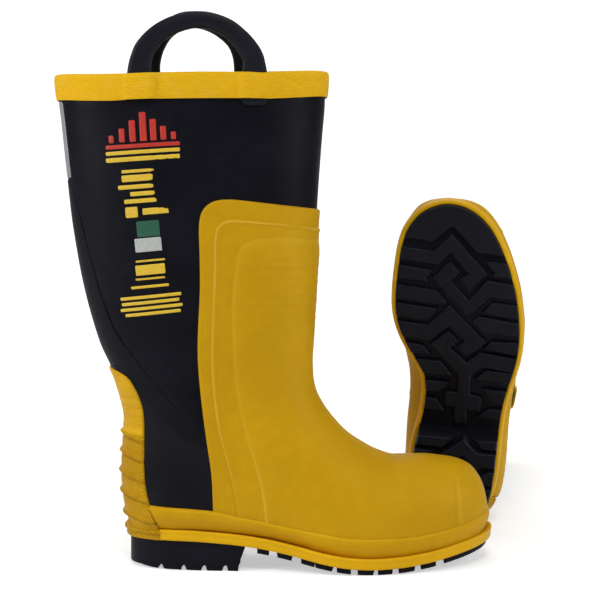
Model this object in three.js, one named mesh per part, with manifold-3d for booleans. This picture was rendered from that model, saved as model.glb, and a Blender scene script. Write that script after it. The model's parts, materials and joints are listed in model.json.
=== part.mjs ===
// A pair of pull-on rubber fire boots, 16 inch height, about EU 42 / US 9.
// Millimetres, +Z up. The right boot stands upright with its toe along +X and its outer side
// towards -Y. It is drawn with its heel back near x = 0, then moved so that the origin is at the
// middle of its rear heel lug. The left boot is its mirror image and lies on its back, on the
// inner (+Y) side of the right boot's toe.
// Every layer follows one master surface at its own distance, so that layers never touch.
import * as THREE from "three";
import { mergeVertices } from "three/addons/utils/BufferGeometryUtils.js";
import Module from "manifold-3d";

const wasm = await Module();
wasm.setup();

// ---------------------------------------------------------------- driving dimensions
const RING_POINTS = 14;       // points round each section of the master surface
const LEG_TOP = 402;          // top edge of the rubber leg
const GAP = 0.3;              // between stacked layers of the sole

// Distances from the master surface, positive outwards.
const SKIN = 0.6;             // underside of the layers that lie on the leg
const SHELL_T = 2.2;          // black rubber wall, inwards
const OVERLAY_T = 3.2;        // yellow shin, vamp and toe piece
const SHIN_PAD_T = 1.9;
const PAD_SEAT_T = 2.3;       // depth range cleared in the overlay for the shin pad
const STRIP_T = 3;            // yellow heel strip
const RIDGE_T = 5.2;          // kick-off ridges on the heel strip
const QUARTER_T = 1.4;
const FOXING_T = 4.4;         // yellow band above the sole
const ROOT_T = 2.9;           // roots of the pull handles
const PATCH_T = 1.1;
const FILM_T = 0.8;
const LINING_OUTER = -SHELL_T - 0.8;
const LINING_INNER = LINING_OUTER - 2.5;
const INSOLE_EDGE = LINING_INNER - 1.6;
const STIFFENER_OUTER = -SHELL_T - 0.7;
const STIFFENER_INNER = -SHELL_T - 2.2;

// Heights above the edge line of the black sole, unless noted.
const LUG = 3.3;              // lugs, below the edge line
const GROOVE_FLOOR = 1.2;
const HEEL_FLOOR = 4.5;       // groove floor of the heel, above the ground
const BASE_TOP = 3.5;         // top of the black sole
const LIP_BOTTOM = 1.4;       // lower edge of the yellow rim
const WELT_H = 9.5;           // top of the yellow midsole edge
const FEATHER = 9.8;          // lower edge of the foxing
const FILL_BOTTOM = BASE_TOP + GAP;
const FILL_TOP = 7.6;
const PLATE_T = 1.2;
const SHANK_T = 1.8;
const BOARD_BOTTOM = 17.4;
const BOARD_T = 1.2;
const INSOLE_T = 3.5;

// Offsets from the plan of the black sole, positive outwards.
const LIP = 3.2;              // how far the yellow rim stands out
const RIM_GAP = 0.35;         // between the rim and the side of the black rubber
const RIM_INNER = -9;
const RIM_INNER_STRIP = -3.2; // inner edge of the heel strip's rim above the welt
const FILL_EDGE = -9.9;

// Mesh accuracy: facets flatter than these are joined.
const FLATNESS = 0.15;        // every finished piece
const LINING_FLATNESS = 0.2;
const INSOLE_FLATNESS = 0.25;
const COARSE = 0.35;          // hidden inner faces

// Reach of the cutting bodies beyond the boot.
const REACH = 80;             // sideways
const HEEL_REACH = 60;        // sideways, at the heel
const CUT_BACK = -20;         // x behind the heel
const CUT_FRONT = 330;        // x ahead of the toe
const EDGE_GAP = 0.4;         // between the foxing and the pieces above it

const HANDLE_Z = 409.5;       // bending line of the pull handles
const HANDLE_Y = 52;          // distance of the handles from the middle plane

const ORIGIN_X = 18;          // middle of the rear heel lug
const LEFT_AT = { x: 283, y: 92 }; // left boot before the shift by ORIGIN_X
const LEFT_YAW = 9;           // degrees, leg turned away from the right boot
const LEFT_ROLL = 3;          // degrees, leaning over to its outer side
const LEFT_SLOPE = { back: 66, up: 383.5 }; // direction of the line it rests on

// Edge line of the black sole [x, z]: raised heel, low ball, toe spring.
const SOLE_LINE = [
  [-20, 22.2], [23, 23], [55, 22.8], [88, 20.8], [118, 17.1], [144, 12.2], [166, 7.4],
  [186, 4.4], [205, 3.3], [226, 4], [248, 6.2], [270, 9.9], [287, 13.3], [330, 21.3],
];

// Plan of the black sole [x, y], from the toe back along the outer side and round the heel.
const SOLE_PLAN = [
  [303.8, 14], [300.8, -1], [293, -13.8], [281, -24.6], [260.9, -35.4], [241.9, -42.6],
  [222.5, -47.7], [202.9, -50.5], [187, -51.2], [169.9, -49.9], [153.8, -46.6], [138.9, -42.9],
  [123.4, -40], [108.6, -38.4], [91.5, -37.4], [72, -36.5], [53, -34.9], [36, -31.6],
  [21, -24.8], [11, -14.5], [7.6, 0], [11, 14.5], [21, 24.8], [36, 31.8], [53, 35.3],
  [72, 36.7], [90, 34.2], [105, 30.9], [120, 28.4], [137, 27.5], [150, 29.4], [162, 35],
  [175, 43.2], [191, 51.3], [207, 55.8], [224, 57], [245, 56.1], [266, 53.8], [281, 49.2],
  [294, 39.6], [301.2, 27.5],
];

// Master surface, from the toe to the collar. Columns: low or rear point x, z; upper or front
// point x, z; half width; y of the middle; place of the widest point (0 to 1); rear fullness.
const SECTIONS = [
  [299.5, 30, 299.5, 47, 14.5, 13, 0.5, 3],
  [296, 26.6, 296, 61.5, 23.5, 13, 0.44, 4.5],
  [287, 23.1, 287, 74, 32.5, 12, 0.38, 7],
  [270, 19.7, 270, 80, 41.5, 10, 0.36, 9],
  [248, 16, 247.5, 82.2, 48, 7.3, 0.35, 9],
  [226, 13.8, 227.5, 82.2, 51.8, 4.8, 0.35, 9],
  [205, 13.1, 210.5, 87, 52.8, 2.4, 0.35, 9],
  [186, 14.2, 196, 94.8, 50.5, -0.8, 0.36, 8.5],
  [166, 17.2, 183.4, 103.6, 46.5, -3, 0.38, 7],
  [144, 22, 171.6, 115.6, 43.5, -3.5, 0.4, 5.5],
  [118, 26.9, 162.2, 128.4, 42.5, -2.5, 0.42, 5],
  [88, 30.6, 156.4, 140.5, 42.5, -1, 0.44, 5.5],
  [55, 32.6, 154, 153, 42.5, -0.5, 0.46, 5.5],
  [23, 33, 153.6, 166, 42.5, 0, 0.48, 4.2],
  [7.4, 44, 154.6, 182, 42.5, 0, 0.5, 2.7],
  [3.2, 76, 155.8, 202, 43, 0, 0.5, 2.4],
  [4.6, 117, 157.4, 229, 45.3, 0, 0.5, 2.2],
  [-2, 147, 158.8, 251, 47, 0, 0.5, 2.2],
  [-18, 184, 161.2, 281, 49.6, 0, 0.5, 2.2],
  [-35, 250, 164.2, 322, 52.4, 0, 0.5, 2.2],
  [-53.5, LEG_TOP, 169.4, LEG_TOP, 55.5, 0, 0.5, 2.2],
];
const FRONT_FULLNESS = 2.2;   // superellipse exponent of the upper or front half

// ---------------------------------------------------------------- number helpers
const lerp = (a, b, t) => a + (b - a) * t;
const signedPower = (value, power) => Math.sign(value) * Math.abs(value) ** power;

// Value at x of a table of [x, value] points.
function interpolate(table, x) {
  if (x <= table[0][0]) return table[0][1];
  for (let i = 1; i < table.length; i++) {
    const [x0, value0] = table[i - 1];
    const [x1, value1] = table[i];
    if (x <= x1) return lerp(value0, value1, (x - x0) / (x1 - x0));
  }
  return table[table.length - 1][1];
}
const soleZ = (x) => interpolate(SOLE_LINE, x);

// ---------------------------------------------------------------- solid helpers
function geometryOf(points, tris) {
  const geometry = new THREE.BufferGeometry();
  geometry.setAttribute("position", new THREE.Float32BufferAttribute(points.flat(), 3));
  geometry.setIndex(tris.flat());
  return geometry;
}

function toSolid(geometry) {
  geometry.deleteAttribute("normal");
  geometry.deleteAttribute("uv");
  const merged = mergeVertices(geometry, 1e-4);
  return new wasm.Manifold(new wasm.Mesh({
    numProp: 3,
    vertProperties: new Float32Array(merged.attributes.position.array),
    triVerts: new Uint32Array(merged.index.array),
  }));
}

function toGeometry(solid) {
  const mesh = solid.getMesh();
  const geometry = new THREE.BufferGeometry();
  geometry.setAttribute("position", new THREE.BufferAttribute(mesh.vertProperties.slice(), 3));
  geometry.setIndex(Array.from(mesh.triVerts));
  return geometry;
}

// Closed solid from triangles that may all face inwards.
function outwardSolid(points, tris) {
  const solid = toSolid(geometryOf(points, tris));
  if (solid.volume() >= 0) return solid;
  return toSolid(geometryOf(points, tris.map(([a, b, c]) => [a, c, b])));
}

// Triangles between two rings of points that start at the given indices.
function band(start, nextStart, count) {
  const tris = [];
  for (let j = 0; j < count; j++) {
    const k = (j + 1) % count;
    tris.push([start + j, start + k, nextStart + k], [start + j, nextStart + k, nextStart + j]);
  }
  return tris;
}

// Rings of equal length joined into one closed solid, with a fan at each end.
function loft(rings) {
  const count = rings[0].length;
  const points = rings.flat();
  const tris = [];
  const lastStart = (rings.length - 1) * count;
  for (let start = 0; start < lastStart; start += count) {
    tris.push(...band(start, start + count, count));
  }
  for (const start of [0, lastStart]) {
    const ring = points.slice(start, start + count);
    const middle = [0, 1, 2].map((k) => ring.reduce((sum, p) => sum + p[k], 0) / count);
    const hub = points.push(middle) - 1;
    for (let j = 0; j < count; j++) {
      const a = start + j;
      const b = start + (j + 1) % count;
      tris.push(start === 0 ? [hub, b, a] : [hub, a, b]);
    }
  }
  return outwardSolid(points, tris);
}

// Closed profiles joined into an endless loop.
function ringLoft(profiles) {
  const count = profiles[0].length;
  const tris = profiles.flatMap((_, i) =>
    band(i * count, ((i + 1) % profiles.length) * count, count));
  return outwardSolid(profiles.flat(), tris);
}

function extrude(outline, depth) {
  const shape = new THREE.Shape(outline.map(([a, b]) => new THREE.Vector2(a, b)));
  return new THREE.ExtrudeGeometry(shape, { depth, bevelEnabled: false, steps: 1 });
}

// Plan outline [x, y] raised from z0 to z1.
const slab = (outline, z0, z1) => toSolid(extrude(outline, z1 - z0).translate(0, 0, z0));

// Side-view outline [x, z] drawn through to the same distance on both sides.
const curtain = (outline, reach = REACH) =>
  toSolid(extrude(outline, 2 * reach).rotateX(Math.PI / 2).translate(0, reach, 0));

function block([x0, x1], [y0, y1], [z0, z1]) {
  const box = new THREE.BoxGeometry(x1 - x0, y1 - y0, z1 - z0);
  return toSolid(box.translate((x0 + x1) / 2, (y0 + y1) / 2, (z0 + z1) / 2));
}

// Moves a closed outline outwards (positive) or inwards, each point square to its neighbours.
function grow(outline, distance) {
  const count = outline.length;
  let area = 0;
  outline.forEach(([x0, y0], i) => {
    const [x1, y1] = outline[(i + 1) % count];
    area += x0 * y1 - x1 * y0;
  });
  const step = Math.sign(area) * distance;
  return outline.map(([x, y], i) => {
    const before = outline[(i + count - 1) % count];
    const after = outline[(i + 1) % count];
    const dx = after[0] - before[0];
    const dy = after[1] - before[1];
    const length = Math.hypot(dx, dy);
    return [x + step * dy / length, y - step * dx / length];
  });
}

// Splits one triangle at the plane x; midpoint(a, b) gives the point where edge a-b crosses it.
function splitTriangle(tri, points, x, midpoint) {
  const sides = tri.map((v) => Math.sign(points[v][0] - x));
  if (!(sides.includes(1) && sides.includes(-1))) return [tri];
  const onPlane = sides.includes(0);
  const first = onPlane
    ? sides.indexOf(0)
    : sides.findIndex((s, i) => s !== sides[(i + 1) % 3] && s !== sides[(i + 2) % 3]);
  const [a, b, c] = [0, 1, 2].map((k) => tri[(first + k) % 3]);
  if (onPlane) {
    const cut = midpoint(b, c);
    return [[a, b, cut], [a, cut, c]];
  }
  const cutAB = midpoint(a, b);
  const cutCA = midpoint(c, a);
  return [[a, cutAB, cutCA], [cutAB, b, c], [cutAB, c, cutCA]];
}

// Splits every triangle at the given x planes, so that bending along the sole line is exact.
function splitAtX(geometry, planes) {
  const position = geometry.attributes.position;
  const index = geometry.index.array;
  const points = [];
  let tris = [];
  for (let i = 0; i < position.count; i++) {
    points.push([position.getX(i), position.getY(i), position.getZ(i)]);
  }
  for (let i = 0; i < index.length; i += 3) tris.push([index[i], index[i + 1], index[i + 2]]);
  for (const x of planes) {
    for (const point of points) if (Math.abs(point[0] - x) < 1e-3) point[0] = x;
    const cuts = new Map();
    const midpoint = (a, b) => {
      const low = Math.min(a, b);
      const high = Math.max(a, b);
      const key = low + "_" + high;
      if (!cuts.has(key)) {
        const from = points[low];
        const to = points[high];
        const t = (x - from[0]) / (to[0] - from[0]);
        cuts.set(key, points.push([x, lerp(from[1], to[1], t), lerp(from[2], to[2], t)]) - 1);
      }
      return cuts.get(key);
    };
    tris = tris.flatMap((tri) => splitTriangle(tri, points, x, midpoint));
  }
  return geometryOf(points, tris);
}

// Raises a flat piece by the sole line.
function bend(solid) {
  const geometry = splitAtX(toGeometry(solid), SOLE_LINE.map(([x]) => x));
  const position = geometry.attributes.position;
  for (let i = 0; i < position.count; i++) {
    position.setZ(i, position.getZ(i) + soleZ(position.getX(i)));
  }
  return toSolid(geometry);
}

// ---------------------------------------------------------------- master surface
function sectionRing([rearX, rearZ, frontX, frontZ, halfWidth, midY, widest, rearFullness]) {
  const length = Math.hypot(frontX - rearX, frontZ - rearZ);
  const dx = (frontX - rearX) / length;
  const dz = (frontZ - rearZ) / length;
  const ring = [];
  for (let j = 0; j < RING_POINTS; j++) {
    const angle = (2 * Math.PI * (j + 0.5)) / RING_POINTS;
    const c = Math.cos(angle);
    const power = 2 / (c < 0 ? rearFullness : FRONT_FULLNESS);
    const share = c < 0 ? widest : 1 - widest;
    const h = widest * length + signedPower(c, power) * share * length;
    const y = midY + signedPower(Math.sin(angle), power) * halfWidth;
    ring.push([rearX + dx * h, y, rearZ + dz * h]);
  }
  return ring;
}

const BASE = SECTIONS.map(sectionRing);
const COLLAR = BASE.length - 1;

// Outward normal of each point. The toe end leans forwards, the collar stays level.
const NORMALS = BASE.map((ring, i) => ring.map((_, j) => {
  const next = new THREE.Vector3(...BASE[Math.min(i + 1, COLLAR)][j]);
  const previous = new THREE.Vector3(...BASE[Math.max(i - 1, 0)][j]);
  const before = new THREE.Vector3(...ring[(j + RING_POINTS - 1) % RING_POINTS]);
  const after = new THREE.Vector3(...ring[(j + 1) % RING_POINTS]);
  const normal = after.sub(before).cross(next.sub(previous)).normalize();
  if (i === 0) normal.add(new THREE.Vector3(1, 0, 0)).normalize();
  if (i === COLLAR) normal.setZ(0).normalize();
  return normal;
}));

const offsetRing = (i, distance) => BASE[i].map(([x, y, z], j) => {
  const normal = NORMALS[i][j];
  return [x + normal.x * distance, y + normal.y * distance, z + normal.z * distance];
});

// The solid boot at a distance from the master surface; tall adds a piece above the collar.
function bootAt(distance, tall = false) {
  const rings = BASE.map((_, i) => offsetRing(i, distance));
  if (tall) rings.push(rings[COLLAR].map(([x, y]) => [x, y, LEG_TOP + 30]));
  return loft(rings);
}

// Layer between two distances. Its inner face is drawn coarser than its outer one.
const hollow = (distance) => bootAt(distance, true).simplify(COARSE);
const wall = (inner, outer) => bootAt(outer).subtract(hollow(inner));

// The part of a layer inside a side-view outline.
const layer = (inner, outer, outline, reach) =>
  wall(inner, outer).intersect(curtain(outline, reach));

// Level ring at height z on the top stretch of the leg.
function legRing(z, distance) {
  const lower = offsetRing(COLLAR - 1, distance);
  return offsetRing(COLLAR, distance).map((top, j) => {
    const t = (z - lower[j][2]) / (top[2] - lower[j][2]);
    return [lerp(lower[j][0], top[0], t), lerp(lower[j][1], top[1], t), z];
  });
}

// ---------------------------------------------------------------- side-view outlines [x, z]
const FOXING_TOP = [
  [0, 54], [27, 53], [77, 50], [99, 45.6], [115, 43], [152, 35.8], [191, 30.2], [224, 29.6],
  [258, 32.6], [277, 36.6], [300, 43], [330, 51],
];
const foxingZ = (x) => interpolate(FOXING_TOP, x);
const edgeLine = (xs, heightAt, rise = 0) => xs.map((x) => [x, heightAt(x) + rise]);
const FORE_XS = FOXING_TOP.slice(2).map(([x]) => x); // from the overlay's rear edge to the toe
const FOXING_REAR = 36.6;
const FOXING = [
  ...edgeLine([FOXING_REAR, ...SOLE_LINE.slice(2).map(([x]) => x)], soleZ, FEATHER),
  ...edgeLine([FOXING_REAR, ...FORE_XS].reverse(), foxingZ),
];
const OVERLAY = [
  [200, 290], [162.6, 292.5], [136.7, 293.6], [110, 296.6], [88, 298.4], [77, 296.2],
  [69.5, 290], [66.6, 278], [67.5, 256], [67.5, 226], [66, 190], [66.3, 156], [69.1, 129],
  [73, 100], [77, 75.5], ...edgeLine(FORE_XS, foxingZ, EDGE_GAP), [330, 290],
];
const STRIP = [
  [-60, 163], [-9, 163], [7.9, 155.8], [15.2, 146], [20.8, 132.4], [22.4, 120.4],
  [22.4, 99.4], [22.4, 78.5], [24, 64], [27, 53], [32, 41.5], [36, 33.3], [32, 33.2],
  [10, 32.4], [-60, 31.5],
];
const QUARTER = [
  [-60, 296], [-37, 293.5], [-27.7, 262], [-17.7, 234], [-9.8, 208], [-1, 188], [9.5, 176.5],
  [42, 139], [58, 122.4], [68.7, 116], [72.4, 100], [76.2, 76], [76.2, 51],
  ...edgeLine([60, 40, 27.8], foxingZ, EDGE_GAP), [24.8, 64], [23.2, 78.5], [23.2, 120.6],
  [21.6, 132.8], [16, 146.6], [8.4, 156.8], [-9, 164.2], [-60, 164.2],
];
const PAD = [[98, 282], [120, 284], [190, 284], [190, 150], [108, 150], [98, 170]];
const COUNTER = [[-20, 118], [18, 112], [44, 84], [48, 46], [-20, 46]];
const TOE_CAP = [[243, 25.5], [272, 29], [299, 36], [330, 42], [330, 110], [243, 110]];
const TOE_STRIP = [[234, 25], [242.6, 26], [242.6, 110], [234, 110]];
const TOE_SEAT = [
  [233.6, 24.4], [272, 28.2], [299, 35], [330, 41], [330, 110], [233.6, 110],
];
// Side view of the welt, and of the rear part of the rim that belongs to the heel strip.
const WELT_PART = [[36.8, 60], [37.6, 0], [330, 0], [330, 60]];
const STRIP_RIM_PART = [[-20, 60], [36, 60], [36.8, 0], [-20, 0]];

// ---------------------------------------------------------------- upper
function makeOverlay() {
  const padSeat = layer(0, PAD_SEAT_T, grow(PAD, 0.5));
  return layer(SKIN, OVERLAY_T, OVERLAY).subtract(padSeat);
}

// Lining with seats for the toe cap, the strip behind its edge and the heel counter.
function makeLining() {
  const seats = curtain(TOE_SEAT).add(curtain(grow(COUNTER, 0.6), HEEL_REACH));
  const seatCut = wall(STIFFENER_INNER - 0.4, 0).intersect(seats);
  return bootAt(LINING_OUTER).simplify(COARSE)
    .subtract(hollow(LINING_INNER))
    .subtract(seatCut)
    .simplify(LINING_FLATNESS);
}

const stiffenerShell = bootAt(STIFFENER_OUTER).subtract(bootAt(STIFFENER_INNER, true));
const stiffener = (outline, reach) => stiffenerShell.intersect(curtain(outline, reach));

// ---------------------------------------------------------------- sole
const planSlab = (offset, z0, z1) => slab(grow(SOLE_PLAN, offset), z0, z1);

// Coarser plan of every second point, for hidden edges.
const THIN_PLAN = SOLE_PLAN.filter((_, i) => i % 2 === 0);
const thinSlab = (offset, z0, z1) => slab(grow(THIN_PLAN, offset), z0, z1);

// Plan rectangle over the full width.
const across = (x0, x1) => [[x0, -REACH], [x1, -REACH], [x1, REACH], [x0, REACH]];

// Lug outlines [x, y] of the forefoot and waist; they run past the plan, which trims them.
const LUGS = [
  [[274.7, 51], [272.4, 27.3], [286.8, 11], [265, -11.4], [260.9, -60], [320, -60], [320, 51]],
  [[268.1, 70], [263.7, 25.7], [279.1, 11.2], [246.7, -21.1], [231.8, -6], [240.8, 2.1],
    [246.4, -4.7], [263.8, 11.5], [253, 21], [256.8, 70]],
  [[252.1, 70], [247.2, 26], [241, 32.1], [237.6, 29.6], [240.3, 70]],
  [[241.3, 25.7], [255.6, 11.1], [246.6, 2.4], [239.7, 10.3], [222.9, -5.9], [241.1, -21.4],
    [236.7, -60], [224.5, -60], [227.5, -25.1], [209.4, -5.7]],
  [[257.8, -18.8], [254.6, -60], [242.2, -60], [245.2, -25.9]],
  [[234.9, 70], [230, 21.6], [220.2, 12.8], [218.2, 16.8], [222.6, 70]],
  [[219, 70], [213.9, 20.7], [204, 29.6], [206.8, 70]],
  [[202.7, 70], [198.8, 27.9], [218, 10.3], [186.1, -23.1], [172.9, -6.8], [180.7, 1.3],
    [186.4, -4.9], [199.8, 9.4], [185.4, 25.7], [188.8, 70]],
  [[213, -18.8], [222.3, -27.7], [219.5, -60], [207.5, -60]],
  [[204.9, -11], [209.3, -14.9], [204, -60], [191.7, -60], [196.5, -17.9]],
  [[180.8, -21.7], [187, -27.8], [187.6, -60], [174.6, -60]],
  [[181.6, 24.5], [195, 10.3], [186.6, 1.6], [179.5, 8.3], [165.9, -7.1], [176.4, -17.8],
    [171.1, -60], [157.4, -60], [163, -20.2], [154.3, -10.7], [135.2, -11.1], [133.1, -21.8],
    [119.5, -20.2], [120.6, -8.9], [107, -9.2], [107, 1.4], [122.5, 1.2], [123.7, 10.7],
    [136.7, 9.6], [136.7, -0.4], [154.4, -0.7]],
  [[184.2, 60], [179.7, 31.9], [172.4, 25], [172.7, 60]],
  [[167.7, 60], [165.9, 15.8], [153.4, 5.4], [154.5, 60]],
  [[148.1, 60], [145.7, 7.7], [136.1, 16], [135.8, 60]],
  [[130.5, 60], [129.2, 18.6], [117.8, 11], [119.9, 60]],
  [[151, -15.6], [159.7, -24.5], [157.9, -60], [146.4, -60]],
  [[141.4, -22.5], [139.5, -60], [129.4, -60], [128.8, -29.7]],
  [[114.1, -18.7], [122.2, -27.7], [122.3, -60], [111.3, -60]],
];
// Lug outlines [x, y] of the heel.
const HEEL_LUGS = [
  [[99.7, 60], [97.4, 1.1], [88.4, 10.9], [89.6, 60]],
  [[86.6, 60], [84.5, 18], [73.4, 27.5], [74.8, 60]],
  [[96.4, -17.8], [99.3, -60], [88.8, -60], [88.8, -24]],
  [[72.3, 25.1], [97, -7.8], [85.4, -20], [85.4, -60], [71.8, -60], [71.8, -27], [68.8, -19.3],
    [81.7, -7.4], [69.3, 9.9], [60, 18], [60, 60], [71, 60]],
  [[64, 9], [72, -5], [60, -17], [68.4, -31], [68.4, -60], [55.2, -60], [55.2, -30],
    [50, -12], [55, 0], [50, 12], [48.5, 60], [56.6, 60], [56, 14]],
  [[45, 60], [43, 8], [48, 0], [43, -8], [52, -28], [52, -60], [36.8, -60], [36.8, -28],
    [33, -4], [37, 0], [33, 4], [34, 60]],
  [[30.5, 60], [30.5, 28], [26, 0], [33.4, -28], [33.4, -60], [-5, -60], [-5, 60]],
];
const HEEL_PLAN = [[102, 60], [100, 0], [102, -60], [-10, -60], [-10, 60]];

// The forefoot tread is drawn flat and bent; the heel lugs stand level on the ground.
function makeOutsole() {
  let tread = planSlab(0, GROOVE_FLOOR, BASE_TOP);
  for (const lug of LUGS) {
    tread = tread.add(slab(lug, -LUG, GROOVE_FLOOR + 0.6).intersect(planSlab(0, -LUG - 1, 9)));
  }
  const underBase = bend(planSlab(0, -30, GROOVE_FLOOR + 0.8));
  let outsole = bend(tread).add(slab(HEEL_PLAN, HEEL_FLOOR, 40).intersect(underBase));
  for (const lug of HEEL_LUGS) {
    outsole = outsole.add(slab(lug, 0, HEEL_FLOOR + 1).intersect(planSlab(0, -1, 9)));
  }
  return outsole;
}

// Flat yellow ring round the sole, with a lip over the side of the black rubber.
const rim = (top) => planSlab(LIP, LIP_BOTTOM, top)
  .subtract(planSlab(RIM_GAP, -1, FILL_BOTTOM))
  .subtract(thinSlab(RIM_INNER, 1, 12));

// Heel strip with ridges that slope down towards the front, and the rear end of the rim.
const RIDGES = [109, 94, 78, 62.5, 47]; // lower edge at the rear, z
const RIDGE_H = 3;
const RIDGE_DROP = 5.6;
const RIDGE_FRONT = 20.5;
function makeHeelStrip() {
  let strip = layer(SKIN, STRIP_T, STRIP, HEEL_REACH);
  const ridgeWall = wall(SKIN + 0.6, RIDGE_T);
  for (const z of RIDGES) {
    const outline = [
      [CUT_BACK, z + RIDGE_H],
      [RIDGE_FRONT, z + RIDGE_H - RIDGE_DROP],
      [RIDGE_FRONT, z - RIDGE_DROP],
      [CUT_BACK, z],
    ];
    strip = strip.add(ridgeWall.intersect(curtain(outline, HEEL_REACH)));
  }
  const rearRim = rim(FEATHER + 1.2).subtract(thinSlab(RIM_INNER_STRIP, WELT_H - 2, 20));
  return strip.add(bend(rearRim).intersect(curtain(STRIP_RIM_PART)));
}

const SHANK = [[58, 11], [150, 9], [150, -9], [58, -11]];
const shankSeat = slab(grow(SHANK, 0.6), BASE_TOP, FILL_BOTTOM + SHANK_T + GAP);

// Filling inside the rim between two places along the foot, with room for the shank.
function soleFill(x0, x1) {
  const fill = thinSlab(FILL_EDGE, FILL_BOTTOM, FILL_TOP);
  return bend(fill.intersect(slab(across(x0, x1), 0, 20)).subtract(shankSeat));
}

const insoleRoom = bootAt(INSOLE_EDGE, true).simplify(COARSE);
const insoleLayer = (bottom, thickness) =>
  insoleRoom.intersect(bend(slab(across(CUT_BACK, CUT_FRONT), bottom, bottom + thickness)));

// ---------------------------------------------------------------- collar and pull handles
// Profile of the tape folded over the top edge [distance, z], with room under it for the roots.
const TAPE = [
  [4.9, 383.5], [4.9, 404], [-7.4, 404], [-7.4, 386],
  [-6, 386], [-6, LEG_TOP + 0.4], [3.5, LEG_TOP + 0.4], [3.5, 383.5],
];
function makeBinding() {
  const rings = TAPE.map(([distance, z]) => legRing(z, distance));
  return ringLoft(rings[0].map((_, j) => rings.map((ring) => ring[j])));
}

// Centre lines of the flat loops from rear to front: [x, z, half width in side view].
const HANDLE_OUT = [
  [20, HANDLE_Z, 8.6], [24.2, 418.5, 8.2], [32, 427.8, 7.6], [43, 435.2, 7.2],
  [56, 439.8, 6.9], [66, 441, 6.8], [77, 439.6, 6.9], [89.5, 434.4, 7.3],
  [99.5, 425.8, 7.8], [106.6, 417, 8.4], [110.6, HANDLE_Z, 8.8],
];
// The inner loop stands a little higher and leans over the opening.
const HANDLE_IN = [
  [18.5, HANDLE_Z, 8.6], [20, 420, 8.2], [24.5, 431.5, 7.6], [33, 443, 7.2],
  [45, 450.5, 6.9], [55, 452.5, 6.8], [66, 451.5, 6.9], [79, 446.5, 7.3],
  [92, 436.5, 7.8], [98.5, 424, 8.4], [100, HANDLE_Z, 8.8],
];
const LEAN_IN = 0.5;          // inward shift per millimetre of height
const HANDLE_HALF_T = 4.5;
const HANDLE_POINTS = 8;      // points round the handle
const HANDLE_POWER = 0.8;     // squareness of its section
const FOOT_ANGLES = [1.15, 0.6]; // radians, sections of the rounded foot from its end up

function handleLoop(y0, path, lean) {
  // Section at x, z whose width runs along the direction (widthX, widthZ).
  const section = (x, z, widthX, widthZ, halfWidth, halfThickness) => {
    const ring = [];
    for (let k = 0; k < HANDLE_POINTS; k++) {
      const angle = (2 * Math.PI * (k + 0.5)) / HANDLE_POINTS;
      const u = signedPower(Math.cos(angle), HANDLE_POWER) * halfWidth;
      const v = signedPower(Math.sin(angle), HANDLE_POWER) * halfThickness;
      const pointZ = z + widthZ * u;
      const shift = Math.sign(y0) * lean * Math.max(0, pointZ - HANDLE_Z);
      ring.push([x + widthX * u, y0 + v - shift, pointZ]);
    }
    return ring;
  };
  // Rounded foot below the bending line; facing keeps the sense of the ring along the loop.
  const foot = ([x, z, halfWidth], angle, facing) => section(
    x, z - HANDLE_HALF_T * Math.sin(angle), facing, 0,
    halfWidth, HANDLE_HALF_T * Math.cos(angle),
  );
  const last = path.length - 1;
  const arch = path.slice(1, last).map(([x, z, halfWidth], i) => {
    const before = path[i];
    const after = path[i + 2];
    const along = new THREE.Vector2(after[0] - before[0], after[1] - before[1]).normalize();
    return section(x, z, along.y, -along.x, halfWidth, HANDLE_HALF_T);
  });
  return loft([
    ...FOOT_ANGLES.map((angle) => foot(path[0], angle, 1)),
    foot(path[0], 0, 1),
    ...arch,
    foot(path[last], 0, -1),
    ...FOOT_ANGLES.toReversed().map((angle) => foot(path[last], angle, -1)),
  ]);
}

// Flat roots on the leg below each end of the handles.
const OUTER_SIDE = [-REACH, -20];
const INNER_SIDE = [20, REACH];
const ROOT_HALF_WIDTH = 10.5;
const ROOT_BOTTOM = 374;
const rootWall = wall(SKIN, ROOT_T);
const root = ([x], side) => rootWall.intersect(
  block([x - ROOT_HALF_WIDTH, x + ROOT_HALF_WIDTH], side, [ROOT_BOTTOM, LEG_TOP]),
);

const film = (xRange, zRange) => wall(SKIN, FILM_T).intersect(block(xRange, OUTER_SIDE, zRange));

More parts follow.
